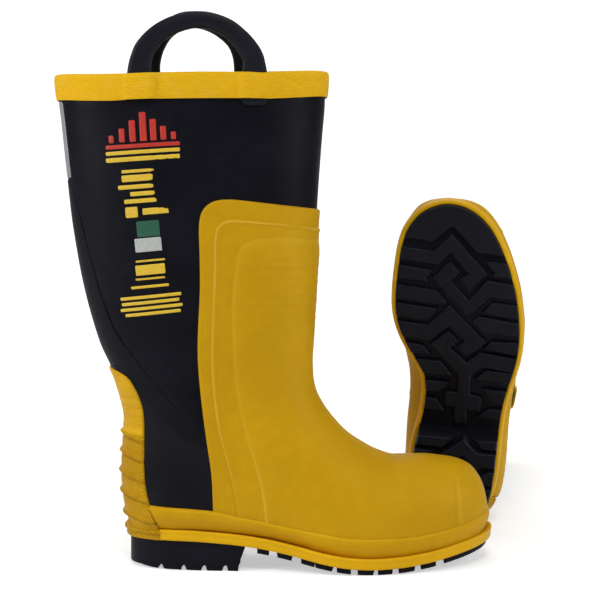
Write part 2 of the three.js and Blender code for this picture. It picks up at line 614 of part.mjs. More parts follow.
// ---------------------------------------------------------------- pieces of the right boot
const pieces = {
  shaft: wall(-SHELL_T, 0),
  shin_pad: layer(SKIN, SHIN_PAD_T, PAD),
  overlay: makeOverlay(),
  quarter: layer(SKIN, QUARTER_T, QUARTER),
  foxing: layer(SKIN, FOXING_T, FOXING),
  toe_cap: stiffener(TOE_CAP),
  toe_bumper: stiffener(TOE_STRIP),
  heel_counter: stiffener(COUNTER, HEEL_REACH),
  lining: makeLining(),
  outsole: makeOutsole(),
  welt: bend(rim(WELT_H)).intersect(curtain(WELT_PART)),
  heel_strip: makeHeelStrip(),
  shank: bend(slab(SHANK, FILL_BOTTOM, FILL_BOTTOM + SHANK_T)),
  mid_fill: soleFill(104, CUT_FRONT),
  heel_core: soleFill(CUT_BACK, 103.4),
  plate: bend(thinSlab(FILL_EDGE, FILL_TOP + GAP, FILL_TOP + GAP + PLATE_T)),
  insole_board: insoleLayer(BOARD_BOTTOM, BOARD_T),
  insole: insoleLayer(BOARD_BOTTOM + BOARD_T + GAP, INSOLE_T).simplify(INSOLE_FLATNESS),
  binding: makeBinding(),
  handle_out: handleLoop(-HANDLE_Y, HANDLE_OUT, 0),
  handle_in: handleLoop(HANDLE_Y, HANDLE_IN, LEAN_IN),
  root_out_rear: root(HANDLE_OUT[0], OUTER_SIDE),
  root_out_front: root(HANDLE_OUT.at(-1), OUTER_SIDE),
  root_in_rear: root(HANDLE_IN[0], INNER_SIDE),
  root_in_front: root(HANDLE_IN.at(-1), INNER_SIDE),
  // Reflective patch at the back of the leg, printed films on its outer side.
  patch: wall(SKIN, PATCH_T).intersect(block([-90, -20], [-21, 21], [317, 380])),
  emblem: film([-9, 55], [327, 369]),
  info_panel: film([0, 56], [205, 325.6]),
};

// ---------------------------------------------------------------- materials
const HANDLE_RUBBER = { color: 0x131319, roughness: 0.5 };
const LOOKS = {
  shaft: { color: 0x111118, roughness: 0.45 },
  overlay: { color: 0xd9a520, roughness: 0.5 },
  shin_pad: { color: 0x6b6b70, roughness: 0.9 },
  heel_strip: { color: 0xd9a520, roughness: 0.55 },
  quarter: { color: 0x121219, roughness: 0.42 },
  foxing: { color: 0xdba71f, roughness: 0.48 },
  lining: { color: 0xd8cdb4, roughness: 0.95 },
  toe_cap: { color: 0x9a9da2, roughness: 0.3, metalness: 1 },
  toe_bumper: { color: 0x26262a, roughness: 0.7 },
  heel_counter: { color: 0x7a6a55, roughness: 0.8 },
  outsole: { color: 0x17171f, roughness: 0.6 },
  welt: { color: 0xe0ad22, roughness: 0.42 },
  shank: { color: 0x8d9196, roughness: 0.35, metalness: 1 },
  mid_fill: { color: 0x2a2a2e, roughness: 0.8 },
  heel_core: { color: 0x3a3836, roughness: 0.85 },
  plate: { color: 0xa6a9ad, roughness: 0.3, metalness: 1 },
  insole_board: { color: 0x9b8363, roughness: 0.9 },
  insole: { color: 0x4a4d52, roughness: 0.95 },
  binding: { color: 0xe3ab1e, roughness: 0.7 },
  handle_out: HANDLE_RUBBER,
  handle_in: HANDLE_RUBBER,
  root_out_rear: HANDLE_RUBBER,
  root_out_front: HANDLE_RUBBER,
  root_in_rear: HANDLE_RUBBER,
  root_in_front: HANDLE_RUBBER,
  patch: { color: 0xb9bdc2, roughness: 0.35 },
  emblem: { color: 0xb33a1c, roughness: 0.5 },
  info_panel: { color: 0x1b1b1f, roughness: 0.5 },
};

// ---------------------------------------------------------------- the pair
// Mirror image across the middle plane, with the triangles turned to face outwards again.
function mirrored(geometry) {
  const mirror = geometry.clone();
  const position = mirror.attributes.position;
  for (let i = 0; i < position.count; i++) position.setY(i, -position.getY(i));
  const index = Array.from(mirror.index.array);
  for (let i = 0; i < index.length; i += 3) {
    [index[i + 1], index[i + 2]] = [index[i + 2], index[i + 1]];
  }
  mirror.setIndex(index);
  return mirror;
}

function addMesh(group, prefix, name, geometry) {
  const mesh = new THREE.Mesh(geometry, new THREE.MeshStandardMaterial(LOOKS[name]));
  mesh.name = prefix + name;
  group.add(mesh);
}

// Lays the left boot on its heel and collar: toe up, leg along +Y.
function layDown(boot) {
  const lean = Math.atan2(LEFT_SLOPE.back, LEFT_SLOPE.up);
  const lying = new THREE.Matrix4().makeBasis(
    new THREE.Vector3(0, -Math.sin(lean), Math.cos(lean)),
    new THREE.Vector3(1, 0, 0),
    new THREE.Vector3(0, Math.cos(lean), Math.sin(lean)),
  );
  const yaw = new THREE.Matrix4().makeRotationZ(THREE.MathUtils.degToRad(-LEFT_YAW));
  const roll = new THREE.Matrix4().makeRotationY(THREE.MathUtils.degToRad(LEFT_ROLL));
  boot.quaternion.setFromRotationMatrix(yaw.multiply(roll).multiply(lying));
  const lowest = new THREE.Box3().setFromObject(boot, true).min.z;
  boot.position.set(LEFT_AT.x - ORIGIN_X, LEFT_AT.y, -lowest);
}

const pair = new THREE.Group();
const right = new THREE.Group();
const left = new THREE.Group();
pair.add(right, left);
for (const [name, solid] of Object.entries(pieces)) {
  const geometry = toGeometry(solid.simplify(FLATNESS));
  geometry.computeVertexNormals();
  addMesh(right, "r_", name, geometry);
  addMesh(left, "l_", name, mirrored(geometry));
}
right.position.set(-ORIGIN_X, 0, 0);
layDown(left);

export default pair;
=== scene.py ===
"""A pair of yellow and black rubber safety boots with pull handles.

Each boot is modelled as a right boot in its own frame, in millimetres: heel back near x = 0,
toe +X, ground z = 0, outer side -Y. The right boot stands in that pose. The left one is its
mirror image, laid on the back of its leg with the toe up and the sole facing -Y, where the
camera is.
"""
import json
import math

import bmesh
import bpy
import numpy as np
from mathutils import Matrix, Vector, noise
from mathutils.geometry import tessellate_polygon

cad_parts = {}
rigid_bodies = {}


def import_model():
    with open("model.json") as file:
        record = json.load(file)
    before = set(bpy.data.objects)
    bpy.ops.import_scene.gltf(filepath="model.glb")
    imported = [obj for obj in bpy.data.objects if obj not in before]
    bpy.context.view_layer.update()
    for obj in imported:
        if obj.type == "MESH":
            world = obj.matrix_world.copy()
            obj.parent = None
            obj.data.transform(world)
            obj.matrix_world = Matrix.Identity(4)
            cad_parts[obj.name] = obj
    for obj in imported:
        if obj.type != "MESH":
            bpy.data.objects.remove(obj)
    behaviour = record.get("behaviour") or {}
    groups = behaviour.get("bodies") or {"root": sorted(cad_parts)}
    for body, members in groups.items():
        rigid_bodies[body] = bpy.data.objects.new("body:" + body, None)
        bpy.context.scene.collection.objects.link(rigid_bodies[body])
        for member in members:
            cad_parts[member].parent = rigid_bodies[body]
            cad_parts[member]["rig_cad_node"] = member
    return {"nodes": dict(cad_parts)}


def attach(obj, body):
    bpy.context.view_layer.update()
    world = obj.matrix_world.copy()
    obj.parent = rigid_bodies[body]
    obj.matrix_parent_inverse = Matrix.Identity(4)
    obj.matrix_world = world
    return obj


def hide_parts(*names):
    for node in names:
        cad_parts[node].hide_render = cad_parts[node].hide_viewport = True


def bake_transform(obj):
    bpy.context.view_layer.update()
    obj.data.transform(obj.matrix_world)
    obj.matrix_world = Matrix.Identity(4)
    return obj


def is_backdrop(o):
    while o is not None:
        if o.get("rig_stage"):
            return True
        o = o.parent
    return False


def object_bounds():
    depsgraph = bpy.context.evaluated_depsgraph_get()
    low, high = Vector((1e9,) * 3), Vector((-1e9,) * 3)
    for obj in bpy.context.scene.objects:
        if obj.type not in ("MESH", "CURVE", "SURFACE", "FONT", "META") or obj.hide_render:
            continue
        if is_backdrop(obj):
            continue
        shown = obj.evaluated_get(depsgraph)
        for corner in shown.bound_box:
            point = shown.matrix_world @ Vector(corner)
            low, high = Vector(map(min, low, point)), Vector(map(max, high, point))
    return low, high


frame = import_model()
CAD_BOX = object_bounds()

# ------------------------------------------------------------------ driving dimensions, mm
MM = 0.001
ORIGIN_X = 18.0           # boot x that lies at world x = 0
LEFT_YAW, LEFT_ROLL = 9.0, 3.0   # degrees
LEG_SLOPE = (66, 383.5)   # run and rise of the slope that lays the left leg down
LEG_TOP = 402.0
HEEL_SPLIT_X = 36.0       # the heel band ends and the sole edge starts here
HANDLE_Y = 52.0           # distance of the free handle loops from the middle plane
COARSE = 1

# Cross-sections from the toe tip, over the instep, to the collar. Columns: low or back point x, z;
# high or front point x, z; half width; centre y; place of the widest point (0..1);
# superellipse powers of the low and high halves.
SECTIONS = np.array([
    [300.9, 38.0, 300.9, 38.6, 0.3, 13.2, 0.5, 2.2, 2.2],
    [300.5, 33.6, 300.5, 42.9, 8.0, 13.1, 0.5, 2.5, 2.2],
    [299.5, 30.0, 299.5, 47.0, 14.5, 13.0, 0.5, 3.0, 2.2],
    [296.0, 26.6, 296.0, 61.5, 23.5, 13.0, 0.44, 4.5, 2.2],
    [287.0, 23.1, 287.0, 74.0, 32.5, 12.0, 0.38, 7, 2.2],
    [270.0, 19.7, 270.0, 80.0, 41.5, 10.0, 0.36, 9, 2.2],
    [248.0, 16.0, 247.5, 82.2, 48.0, 7.3, 0.35, 9, 2.2],
    [226.0, 13.8, 227.5, 82.2, 51.8, 4.8, 0.35, 9, 2.2],
    [205.0, 13.1, 210.5, 87.0, 52.8, 2.4, 0.35, 9, 2.2],
    [186.0, 14.2, 196.0, 94.8, 50.5, -0.8, 0.36, 8.5, 2.2],
    [166.0, 17.2, 183.4, 103.6, 46.5, -3.0, 0.38, 7, 2.2],
    [144.0, 22.0, 171.6, 115.6, 43.5, -3.5, 0.4, 5.5, 2.2],
    [118.0, 26.9, 162.2, 128.4, 42.5, -2.5, 0.42, 5, 2.2],
    [88.0, 30.6, 156.4, 140.5, 42.5, -1.0, 0.44, 5.5, 2.2],
    [55.0, 32.6, 154.0, 153.0, 42.5, -0.5, 0.46, 5.5, 2.2],
    [23.0, 33.0, 153.6, 166.0, 42.5, 0, 0.48, 4.2, 2.2],
    [7.4, 44.0, 154.6, 182.0, 42.5, 0, 0.5, 2.7, 2.2],
    [3.2, 76.0, 155.8, 202.0, 43.0, 0, 0.5, 2.4, 2.2],
    [4.6, 117.0, 157.4, 229.0, 45.3, 0, 0.5, 2.2, 2.2],
    [-2.0, 147.0, 158.8, 251.0, 47.0, 0, 0.5, 2.2, 2.2],
    [-18.0, 184.0, 161.2, 281.0, 49.6, 0, 0.5, 2.2, 2.2],
    [-35.0, 250.0, 164.2, 322.0, 52.4, 0, 0.5, 2.2, 2.2],
    [-53.5, LEG_TOP, 169.4, LEG_TOP, 55.5, 0, 0.5, 2.2, 2.2],
])
# x and z of the lower edge of the sole
SOLE_LINE = np.array([
    [-20, 22.2], [23, 23], [55, 22.8], [88, 20.8], [118, 17.1], [144, 12.2], [166, 7.4],
    [186, 4.4], [205, 3.3], [226, 4], [248, 6.2], [270, 9.9], [287, 13.3], [330, 21.3]])
# x and z of the upper edge of the foxing band
FOXING_TOP = np.array([
    [0, 54], [27, 53], [77, 50], [99, 45.6], [115, 43], [152, 35.8], [191, 30.2],
    [224, 29.6], [258, 32.6], [277, 36.6], [300, 43], [330, 51]])
# x and y of the sole outline
SOLE_PLAN = np.array([
    [303.8, 14], [300.8, -1], [293, -13.8], [281, -24.6], [260.9, -35.4], [241.9, -42.6],
    [222.5, -47.7], [202.9, -50.5], [187, -51.2], [169.9, -49.9], [153.8, -46.6],
    [138.9, -42.9], [123.4, -40], [108.6, -38.4], [91.5, -37.4], [72, -36.5], [53, -34.9],
    [36, -31.6], [21, -24.8], [11, -14.5], [7.6, 0], [11, 14.5], [21, 24.8], [36, 31.8],
    [53, 35.3], [72, 36.7], [90, 34.2], [105, 30.9], [120, 28.4], [137, 27.5], [150, 29.4],
    [162, 35], [175, 43.2], [191, 51.3], [207, 55.8], [224, 57], [245, 56.1], [266, 53.8],
    [281, 49.2], [294, 39.6], [301.2, 27.5]])


# ------------------------------------------------------------------ placement of the two boots
def left_boot_matrix():
    """Lays the left boot down and fits its sole to the CAD outsole."""
    lean = math.atan2(*LEG_SLOPE)
    sin, cos = math.sin(lean), math.cos(lean)
    laid = Matrix(((0, 1, 0, 0), (-sin, 0, cos, 0), (cos, 0, sin, 0), (0, 0, 0, 1)))
    yaw = Matrix.Rotation(math.radians(-LEFT_YAW), 4, "Z")
    turn = yaw @ Matrix.Rotation(math.radians(LEFT_ROLL), 4, "Y") @ laid
    axes = np.array(turn.to_3x3())
    cad = np.array([v.co for v in frame["nodes"]["l_outsole"].data.vertices]) * 1000
    low, high = (cad @ axes).min(0), (cad @ axes).max(0)
    plan_low, plan_high = SOLE_PLAN.min(0), SOLE_PLAN.max(0)
    # the plan's middle y counts with the opposite sign, as the left boot is mirrored
    middle_y = (low[1] + high[1]) / 2 + (plan_low[1] + plan_high[1]) / 2
    shift = axes @ np.array([low[0] - plan_low[0], middle_y, low[2]])
    return Matrix.Translation(Vector((shift / 1000).tolist())) @ turn @ Matrix.Scale(MM, 4)


BOOT_MATRIX = {
    "r": Matrix.Translation((-ORIGIN_X / 1000, 0, 0)) @ Matrix.Scale(MM, 4),
    "l": left_boot_matrix() @ Matrix.Diagonal((1, -1, 1, 1)),
}


# ------------------------------------------------------------------ curves and distances
def pchip(xs, ys, at):
    """Monotone cubic interpolation."""
    xs, ys, at = (np.asarray(values, float) for values in (xs, ys, at))
    step = np.diff(xs)
    slope = np.diff(ys) / step
    tangent = np.zeros_like(ys)
    for i in range(1, len(xs) - 1):
        if slope[i - 1] * slope[i] > 0:
            before, after = 2 * step[i] + step[i - 1], step[i] + 2 * step[i - 1]
            tangent[i] = (before + after) / (before / slope[i - 1] + after / slope[i])
    tangent[0], tangent[-1] = slope[0], slope[-1]
    k = np.clip(np.searchsorted(xs, at) - 1, 0, len(xs) - 2)
    t = (at - xs[k]) / step[k]
    return ((1 + 2 * t) * (1 - t) ** 2 * ys[k] + t * (1 - t) ** 2 * step[k] * tangent[k]
            + t * t * (3 - 2 * t) * ys[k + 1] + t * t * (t - 1) * step[k] * tangent[k + 1])


def smooth(start, end, x):
    """Smoothstep from 0 at start to 1 at end; it falls along x when start > end."""
    t = np.clip((np.asarray(x, float) - start) / (end - start), 0, 1)
    return t * t * (3 - 2 * t)


def bell(x, centre, width):
    return np.exp(-((x - centre) / width) ** 2)


def sole_z(x):
    return pchip(SOLE_LINE[:, 0], SOLE_LINE[:, 1], x)


def foxing_z(x):
    return pchip(FOXING_TOP[:, 0], FOXING_TOP[:, 1], x)


def trace(height, start, stop, step, lift=0.0):
    """Side-view points along a height curve."""
    xs = np.arange(start, stop, step)
    return np.column_stack([xs, height(xs) + lift])


def chaikin(line, rounds):
    """Rounds the corners of an open line."""
    line = np.asarray(line, float)
    for _ in range(rounds):
        a, b = line[:-1], line[1:]
        cut = np.stack([0.75 * a + 0.25 * b, 0.25 * a + 0.75 * b], 1).reshape(-1, 2)
        line = np.vstack([line[:1], cut, line[-1:]])
    return line


def catmull(line, per, closed=True):
    """Catmull-Rom curve with per points to a span."""
    line = np.asarray(line, float)
    n = len(line)
    out = []
    for i in range(n if closed else n - 1):
        around_i = [i + k for k in (-1, 0, 1, 2)]
        a, b, c, d = (line[k % n if closed else min(max(k, 0), n - 1)] for k in around_i)
        for t in np.arange(per) / per:
            out.append(0.5 * (2 * b + (c - a) * t + (2 * a - 5 * b + 4 * c - d) * t * t
                              + (3 * b - a - 3 * c + d) * t ** 3))
    if not closed:
        out.append(line[-1])
    return np.array(out)


def resample(outline, count):
    """Evenly spaced points round a closed outline."""
    line = np.vstack([outline, outline[:1]])
    length = np.r_[0, np.cumsum(np.linalg.norm(np.diff(line, axis=0), axis=1))]
    at = np.linspace(0, length[-1], count, endpoint=False)
    return np.column_stack([np.interp(at, length, values) for values in line.T])


def line_distance(points, line, closed=False):
    """Distance from 2-D points to a polyline."""
    line = np.asarray(line, float)
    ends = np.roll(line, -1, 0) if closed else line[1:]
    best = np.full(len(points), 1e9)
    for start, end in zip(line, ends):
        span = end - start
        if span @ span < 1e-12:
            continue
        t = np.clip(((points - start) @ span) / (span @ span), 0, 1)
        gap = points - start - t[:, None] * span
        best = np.minimum(best, np.hypot(gap[:, 0], gap[:, 1]))
    return best


def outline_distance(points, outline):
    """Signed distance to a closed outline, positive inside."""
    outline = np.asarray(outline, float)
    inside = np.zeros(len(points), bool)
    for (x0, y0), (x1, y1) in zip(outline, np.roll(outline, -1, 0)):
        if y0 == y1:
            continue
        level = (points[:, 1] > min(y0, y1)) & (points[:, 1] <= max(y0, y1))
        crossing = x0 + (points[:, 1] - y0) * (x1 - x0) / (y1 - y0)
        inside ^= level & (points[:, 0] < crossing)
    distance = line_distance(points, outline, True)
    return np.where(inside, distance, -distance)


def side_distance(points, outline):
    """Signed distance of 3-D points to an outline drawn in side view (x, z)."""
    return outline_distance(points[:, [0, 2]], outline)


def unevenness(points, scale, seed=0.0):
    return np.array([noise.noise(Vector((x * scale + seed, y * scale, z * scale)))
                     for x, y, z in points])


def area(outline):
    following = np.roll(outline, -1, 0)
    return 0.5 * (outline[:, 0] * following[:, 1] - following[:, 0] * outline[:, 1]).sum()


def offset_outline(outline, distance):
    """Mitred offset, outwards for a positive distance; the result runs anticlockwise."""
    if area(outline) < 0:
        outline = outline[::-1]
    before, after = outline - np.roll(outline, 1, 0), np.roll(outline, -1, 0) - outline
    before /= np.linalg.norm(before, axis=1)[:, None]
    after /= np.linalg.norm(after, axis=1)[:, None]
    normal_a = np.column_stack([before[:, 1], -before[:, 0]])
    normal_b = np.column_stack([after[:, 1], -after[:, 0]])
    reach = distance / np.maximum(1 + (normal_a * normal_b).sum(1), 0.35)
    return outline + (normal_a + normal_b) * reach[:, None]


# ------------------------------------------------------------------ master surface
# Its coordinates are the path length (mm) from toe tip to collar, and side, -1..1: 0 at the
# sole or heel back, 1 or -1 at the instep or shin, negative on the outer side (-Y).
SECTION_ANGLES = np.linspace(math.pi, 0, 241)


def half_sections(rows):
    """Half sections (rows, 241, 3) of the y >= 0 side about y = 0, from low to high point."""
    back_x, back_z, front_x, front_z, width, _, widest, low, high = rows.T[:, :, None]
    length = np.hypot(front_x - back_x, front_z - back_z)
    dx, dz = (front_x - back_x) / length, (front_z - back_z) / length
    cos, sin = np.cos(SECTION_ANGLES)[None, :], np.sin(SECTION_ANGLES)[None, :]
    power = 2 / np.where(cos < 0, low, high)
    reach = np.where(cos < 0, widest, 1 - widest) * length
    along = widest * length + np.sign(cos) * np.abs(cos) ** power * reach
    return np.stack([back_x + dx * along, np.abs(sin) ** power * width,
                     back_z + dz * along], -1)


_steps = np.linalg.norm(np.diff(half_sections(SECTIONS), axis=0), axis=2).mean(1)
PATH = np.r_[0, np.cumsum(_steps)]
PATH_END = PATH[-1]


def surface(path, side):
    """Points of the master surface."""
    path = np.clip(path, 0, PATH_END)
    stations, which = np.unique(np.round(path, 6), return_inverse=True)
    rows = np.column_stack([pchip(PATH, SECTIONS[:, k], stations) for k in range(9)])
    half = half_sections(rows)
    girth = np.cumsum(np.linalg.norm(np.diff(half, axis=1), axis=2), 1)
    girth = np.concatenate([np.zeros((len(stations), 1)), girth], 1)
    girth /= np.maximum(girth[:, -1:], 1e-9)
    out = np.empty((len(path), 3))
    for i in range(len(stations)):
        at = np.nonzero(which == i)[0]
        for c in range(3):
            out[at, c] = np.interp(np.abs(side[at]), girth[i], half[i, :, c])
    out[:, 1] = out[:, 1] * np.where(side < 0, -1, 1) + rows[which, 5]
    return out


def around(path, side, step=0.006):
    """Short chords round the sections, in the direction of growing side."""
    def fold(value):
        return np.where(value > 1, value - 2, np.where(value < -1, value + 2, value))
    return surface(path, fold(side + step)) - surface(path, fold(side - step))


def grid(start, end, rows, side_from, side_to, columns):
    """A sheet of the master surface: points, unit normals, triangles."""
    rows, columns = rows // COARSE, columns // COARSE
    wrap = side_to - side_from > 1.999
    path, side = (axis.ravel() for axis in np.meshgrid(
        np.linspace(start, end, rows),
        np.linspace(side_from, side_to, columns, endpoint=not wrap), indexing="ij"))
    points = surface(path, side)
    step = 1.2
    along = (surface(np.minimum(path + step, PATH_END), side)
             - surface(np.maximum(path - step, 0), side))
    normals = np.cross(around(path, side), along)
    length = np.linalg.norm(normals, axis=1)
    flat = length < 1e-6
    normals[~flat] /= length[~flat][:, None]
    normals[flat] = (1, 0, 0)
    middle = 0.5 * (surface(path, np.zeros_like(side)) + surface(path, np.ones_like(side)))
    if np.median(np.einsum("ij,ij->i", normals, points - middle)) < 0:
        normals = -normals
    normals[path < 3.0] = (1, 0, 0)
    top = path > PATH_END - 1e-6
    normals[top, 2] = 0
    normals[top] /= np.linalg.norm(normals[top], axis=1)[:, None]
    i, j = (axis.ravel() for axis in np.meshgrid(
        np.arange(rows - 1), np.arange(columns if wrap else columns - 1), indexing="ij"))
    a, b = i * columns + j, i * columns + (j + 1) % columns
    c, d = a + columns, b + columns
    tris = np.concatenate([np.column_stack([a, c, d]), np.column_stack([a, d, b])])
    p, q, r = (points[tris[:, k]] for k in range(3))
    if np.einsum("ij,ij->i", np.cross(q - p, r - p), normals[tris[:, 0]]).sum() < 0:
        tris = tris[:, [0, 2, 1]]
    return points, normals, tris


def path_at(z):
    """Path length of the leg section whose middle height is z."""
    middle = (SECTIONS[:, 1] + SECTIONS[:, 3]) / 2
    return float(np.interp(z, middle[9:], PATH[9:]))


# ------------------------------------------------------------------ mesh building
def tri_edges(tris):
    return np.concatenate([tris[:, [0, 1]], tris[:, [1, 2]], tris[:, [2, 0]]])


def split(verts, tris, column, level):
    """Cuts the triangles where a vertex column crosses a level."""
    verts = verts.copy()
    verts[np.abs(verts[:, column] - level) < 1e-5, column] = level
    gap = verts[:, column] - level
    sign = np.sign(gap).astype(int)
    signs = sign[tris]
    crossed = (signs.max(1) > 0) & (signs.min(1) < 0)
    if not crossed.any():
        return verts, tris
    cut, signs = tris[crossed], signs[crossed]
    edges = tri_edges(cut)
    edges = np.sort(edges[sign[edges[:, 0]] * sign[edges[:, 1]] < 0], 1)
    count = len(verts)
    keys = np.unique(edges[:, 0].astype(np.int64) * count + edges[:, 1])
    low, high = keys // count, keys % count
    share = gap[low] / (gap[low] - gap[high])
    new = verts[low] + (verts[high] - verts[low]) * share[:, None]
    new[:, column] = level

    def middle(a, b):
        key = np.minimum(a, b).astype(np.int64) * count + np.maximum(a, b)
        return count + np.searchsorted(keys, key)

    def corners(rows, first):
        return [rows[np.arange(len(rows)), (first + k) % 3] for k in range(3)]

    # triangles with one corner on the level fall in two, the others in three
    touching = (signs == 0).any(1)
    a, b, c = corners(cut[touching], np.argmax(signs[touching] == 0, 1))
    m = middle(b, c)
    pieces = [(a, b, m), (a, m, c)]
    signs = signs[~touching]
    lone = -np.sign(signs.sum(1))
    a, b, c = corners(cut[~touching], np.argmax(signs == lone[:, None], 1))
    m, n = middle(a, b), middle(c, a)
    pieces += [(a, m, n), (m, b, c), (m, c, n)]
    out = [tris[~crossed]] + [np.column_stack(piece) for piece in pieces]
    return np.vstack([verts, new]), np.concatenate(out)


def compact(verts, tris):
    """Drops the vertices that no triangle uses."""
    used = np.unique(tris)
    remap = np.full(len(verts), -1)
    remap[used] = np.arange(len(used))
    return verts[used], remap[tris]


def close_skin(outer, inner, tris):
    """A closed skin: an outer face, the same face turned over, and the rim between them."""
    edges = tri_edges(tris)
    n = int(tris.max()) + 1
    keys = edges[:, 0].astype(np.int64) * n + edges[:, 1]
    opposite = edges[:, 1].astype(np.int64) * n + edges[:, 0]
    a, b = edges[~np.isin(keys, opposite)].T
    n = len(outer)
    return np.vstack([outer, inner]), np.concatenate([
        tris, tris[:, [0, 2, 1]] + n,
        np.column_stack([b, a, a + n]), np.column_stack([b, a + n, b + n])])


def layer(sheet, region, height, inner=0.05, edge=2.4, low=0.35,
          levels=(0.0, 0.25, 0.7, 1.4, 2.4)):
    """A closed skin on a sheet of the master surface.

    region gives each point's signed distance (mm) inside the piece, height the distance of the
    outer face from the surface. The edge starts low above the inner face and is rolled over a
    width of edge mm; levels are the cuts across that width, for an edge of 2.4.
    """
    points, normals, tris = sheet
    verts = np.hstack([points, normals, region(points)[:, None]])
    verts, tris = compact(verts, tris[verts[tris, 6].max(1) > -0.01])
    for level in levels:
        verts, tris = split(verts, tris, 6, level * edge / 2.4)
    verts, tris = compact(verts, tris[verts[tris, 6].mean(1) > 0])
    points, normals, inset = verts[:, :3], verts[:, 3:6], np.maximum(verts[:, 6], 0)
    normals = normals / np.linalg.norm(normals, axis=1)[:, None]
    t = np.clip(inset / edge, 0, 1)
    roll = np.sqrt(np.maximum(0, 1 - (1 - t) ** 2))
    lift = inner + low + (height(points) - inner - low) * roll
    verts, faces = close_skin(points + normals * lift[:, None], points + normals * inner, tris)
    return verts, faces, {"sd": np.r_[inset, inset * 0]}


def merge(parts):
    """Joins (vertices, faces) parts."""
    verts, faces, start = [], [], 0
    for part_verts, part_faces in parts:
        faces += [[int(i) + start for i in face] for face in part_faces]
        verts.append(part_verts)
        start += len(part_verts)
    return np.vstack(verts), faces


def ring_walls(size, count, closed=False):
    """Quads between count successive rings of size points."""
    faces = []
    for i in range(count if closed else count - 1):
        p, q = i * size, ((i + 1) % count) * size
        faces += [[p + j, p + (j + 1) % size, q + (j + 1) % size, q + j] for j in range(size)]
    return faces


def sweep(rings, closed=False):
    """Rings of equal length joined into a closed solid, faces outwards."""
    size, count = len(rings[0]), len(rings)
    verts = np.vstack(rings)
    faces = ring_walls(size, count, closed)
    if not closed:
        faces.append(list(range(size))[::-1])
        faces.append([(count - 1) * size + j for j in range(size)])
    volume = 0.0
    for face in faces:
        for k in range(1, len(face) - 1):
            volume += verts[face[0]] @ np.cross(verts[face[k]], verts[face[k + 1]])
    return verts, faces if volume > 0 else [face[::-1] for face in faces]


# ------------------------------------------------------------------ materials
MATERIALS = {}


class Shader:
    """A new material with a Principled surface, and short ways to make its nodes.

    Textures use boot millimetres, stored in the "bc" attribute. A value may be a socket or a
    constant wherever a node input is filled.
    """
    def __init__(self, name):
        material = bpy.data.materials.new(name)
        material.use_nodes = True
        self.tree = material.node_tree
        self.tree.nodes.clear()
        output = self.node("OutputMaterial", {})
        self.surface = self.node("BsdfPrincipled", {})
        self.put(output.inputs[0], self.surface.outputs[0])
        MATERIALS[name] = material

    def put(self, socket, value):
        if isinstance(value, bpy.types.NodeSocket):
            self.tree.links.new(value, socket)
        else:
            socket.default_value = value

    def node(self, kind, inputs, **settings):
        node = self.tree.nodes.new("ShaderNode" + kind)
        for key, value in settings.items():
            setattr(node, key, value)
        for key, value in inputs.items():
            self.put(node.inputs[key], value)
        return node

    def set(self, name, value):
        self.put(self.surface.inputs[name], value)

    def attr(self, name, output="Fac"):
        return self.node("Attribute", {}, attribute_name=name).outputs[output]

    def coord(self):
        return self.attr("bc", "Vector")

    def stretch(self, vector, factors):
        return self.node("VectorMath", {0: vector, 1: factors}, operation="MULTIPLY").outputs[0]

    def separate(self, vector):
        return self.node("SeparateXYZ", {0: vector}).outputs

    def combine(self, x, y, z):
        return self.node("CombineXYZ", {0: x, 1: y, 2: z}).outputs[0]

    def math(self, operation, first, second=0.0, clamp=False):
        return self.node("Math", {0: first, 1: second, 2: 0.0}, operation=operation,
                         use_clamp=clamp).outputs[0]

    def mul(self, first, *factors):
        for factor in factors:
            first = self.math("MULTIPLY", first, factor)
        return first

    def add(self, first, second):
        return self.math("ADD", first, second)

    def sub(self, first, second):
        return self.math("SUBTRACT", first, second)

    def div(self, first, second):
        return self.math("DIVIDE", first, second)

    def wave(self, value, period, operation="SINE"):
        return self.math(operation, self.mul(value, 2 * math.pi / period))

    def line(self, distance, centre, width):
        """A soft line: 1 at the centre distance, fading over the width."""
        t = self.div(self.sub(distance, centre), width)
        return self.math("POWER", 2.718, self.mul(t, t, -1.0))

    def noise(self, vector, scale, detail=4, rough=0.55):
        return self.node("TexNoise", {"Vector": vector, "Scale": scale, "Detail": detail,
                                      "Roughness": rough}).outputs[0]

    def cells(self, vector, scale, feature="F1", output="Distance"):
        return self.node("TexVoronoi", {"Vector": vector, "Scale": scale},
                         feature=feature).outputs[output]

    def ramp(self, value, start, end, to=(0, 1)):
        return self.node("MapRange", {0: value, 1: start, 2: end, 3: to[0], 4: to[1]}).outputs[0]

    def spread(self, value, low=0, high=1):
        """Spreads the usual range of a noise over low..high."""
        return self.ramp(value, 0.3, 0.7, to=(low, high))

    def mix(self, factor, first, second, blend="MIX"):
        first, second = ((*c, 1) if isinstance(c, tuple) else c for c in (first, second))
        return self.node("Mix", {0: factor, 6: first, 7: second}, data_type="RGBA",
                         blend_type=blend).outputs[2]

    def bump(self, height, depth, strength=1.0, normal=None):
        """Depth in metres."""
        inputs = {"Height": height, "Distance": depth, "Strength": strength}
        if normal is not None:
            inputs["Normal"] = normal
        return self.node("Bump", inputs).outputs[0]


def scaled(colour, red, green, blue):
    return colour[0] * red, colour[1] * green, colour[2] * blue


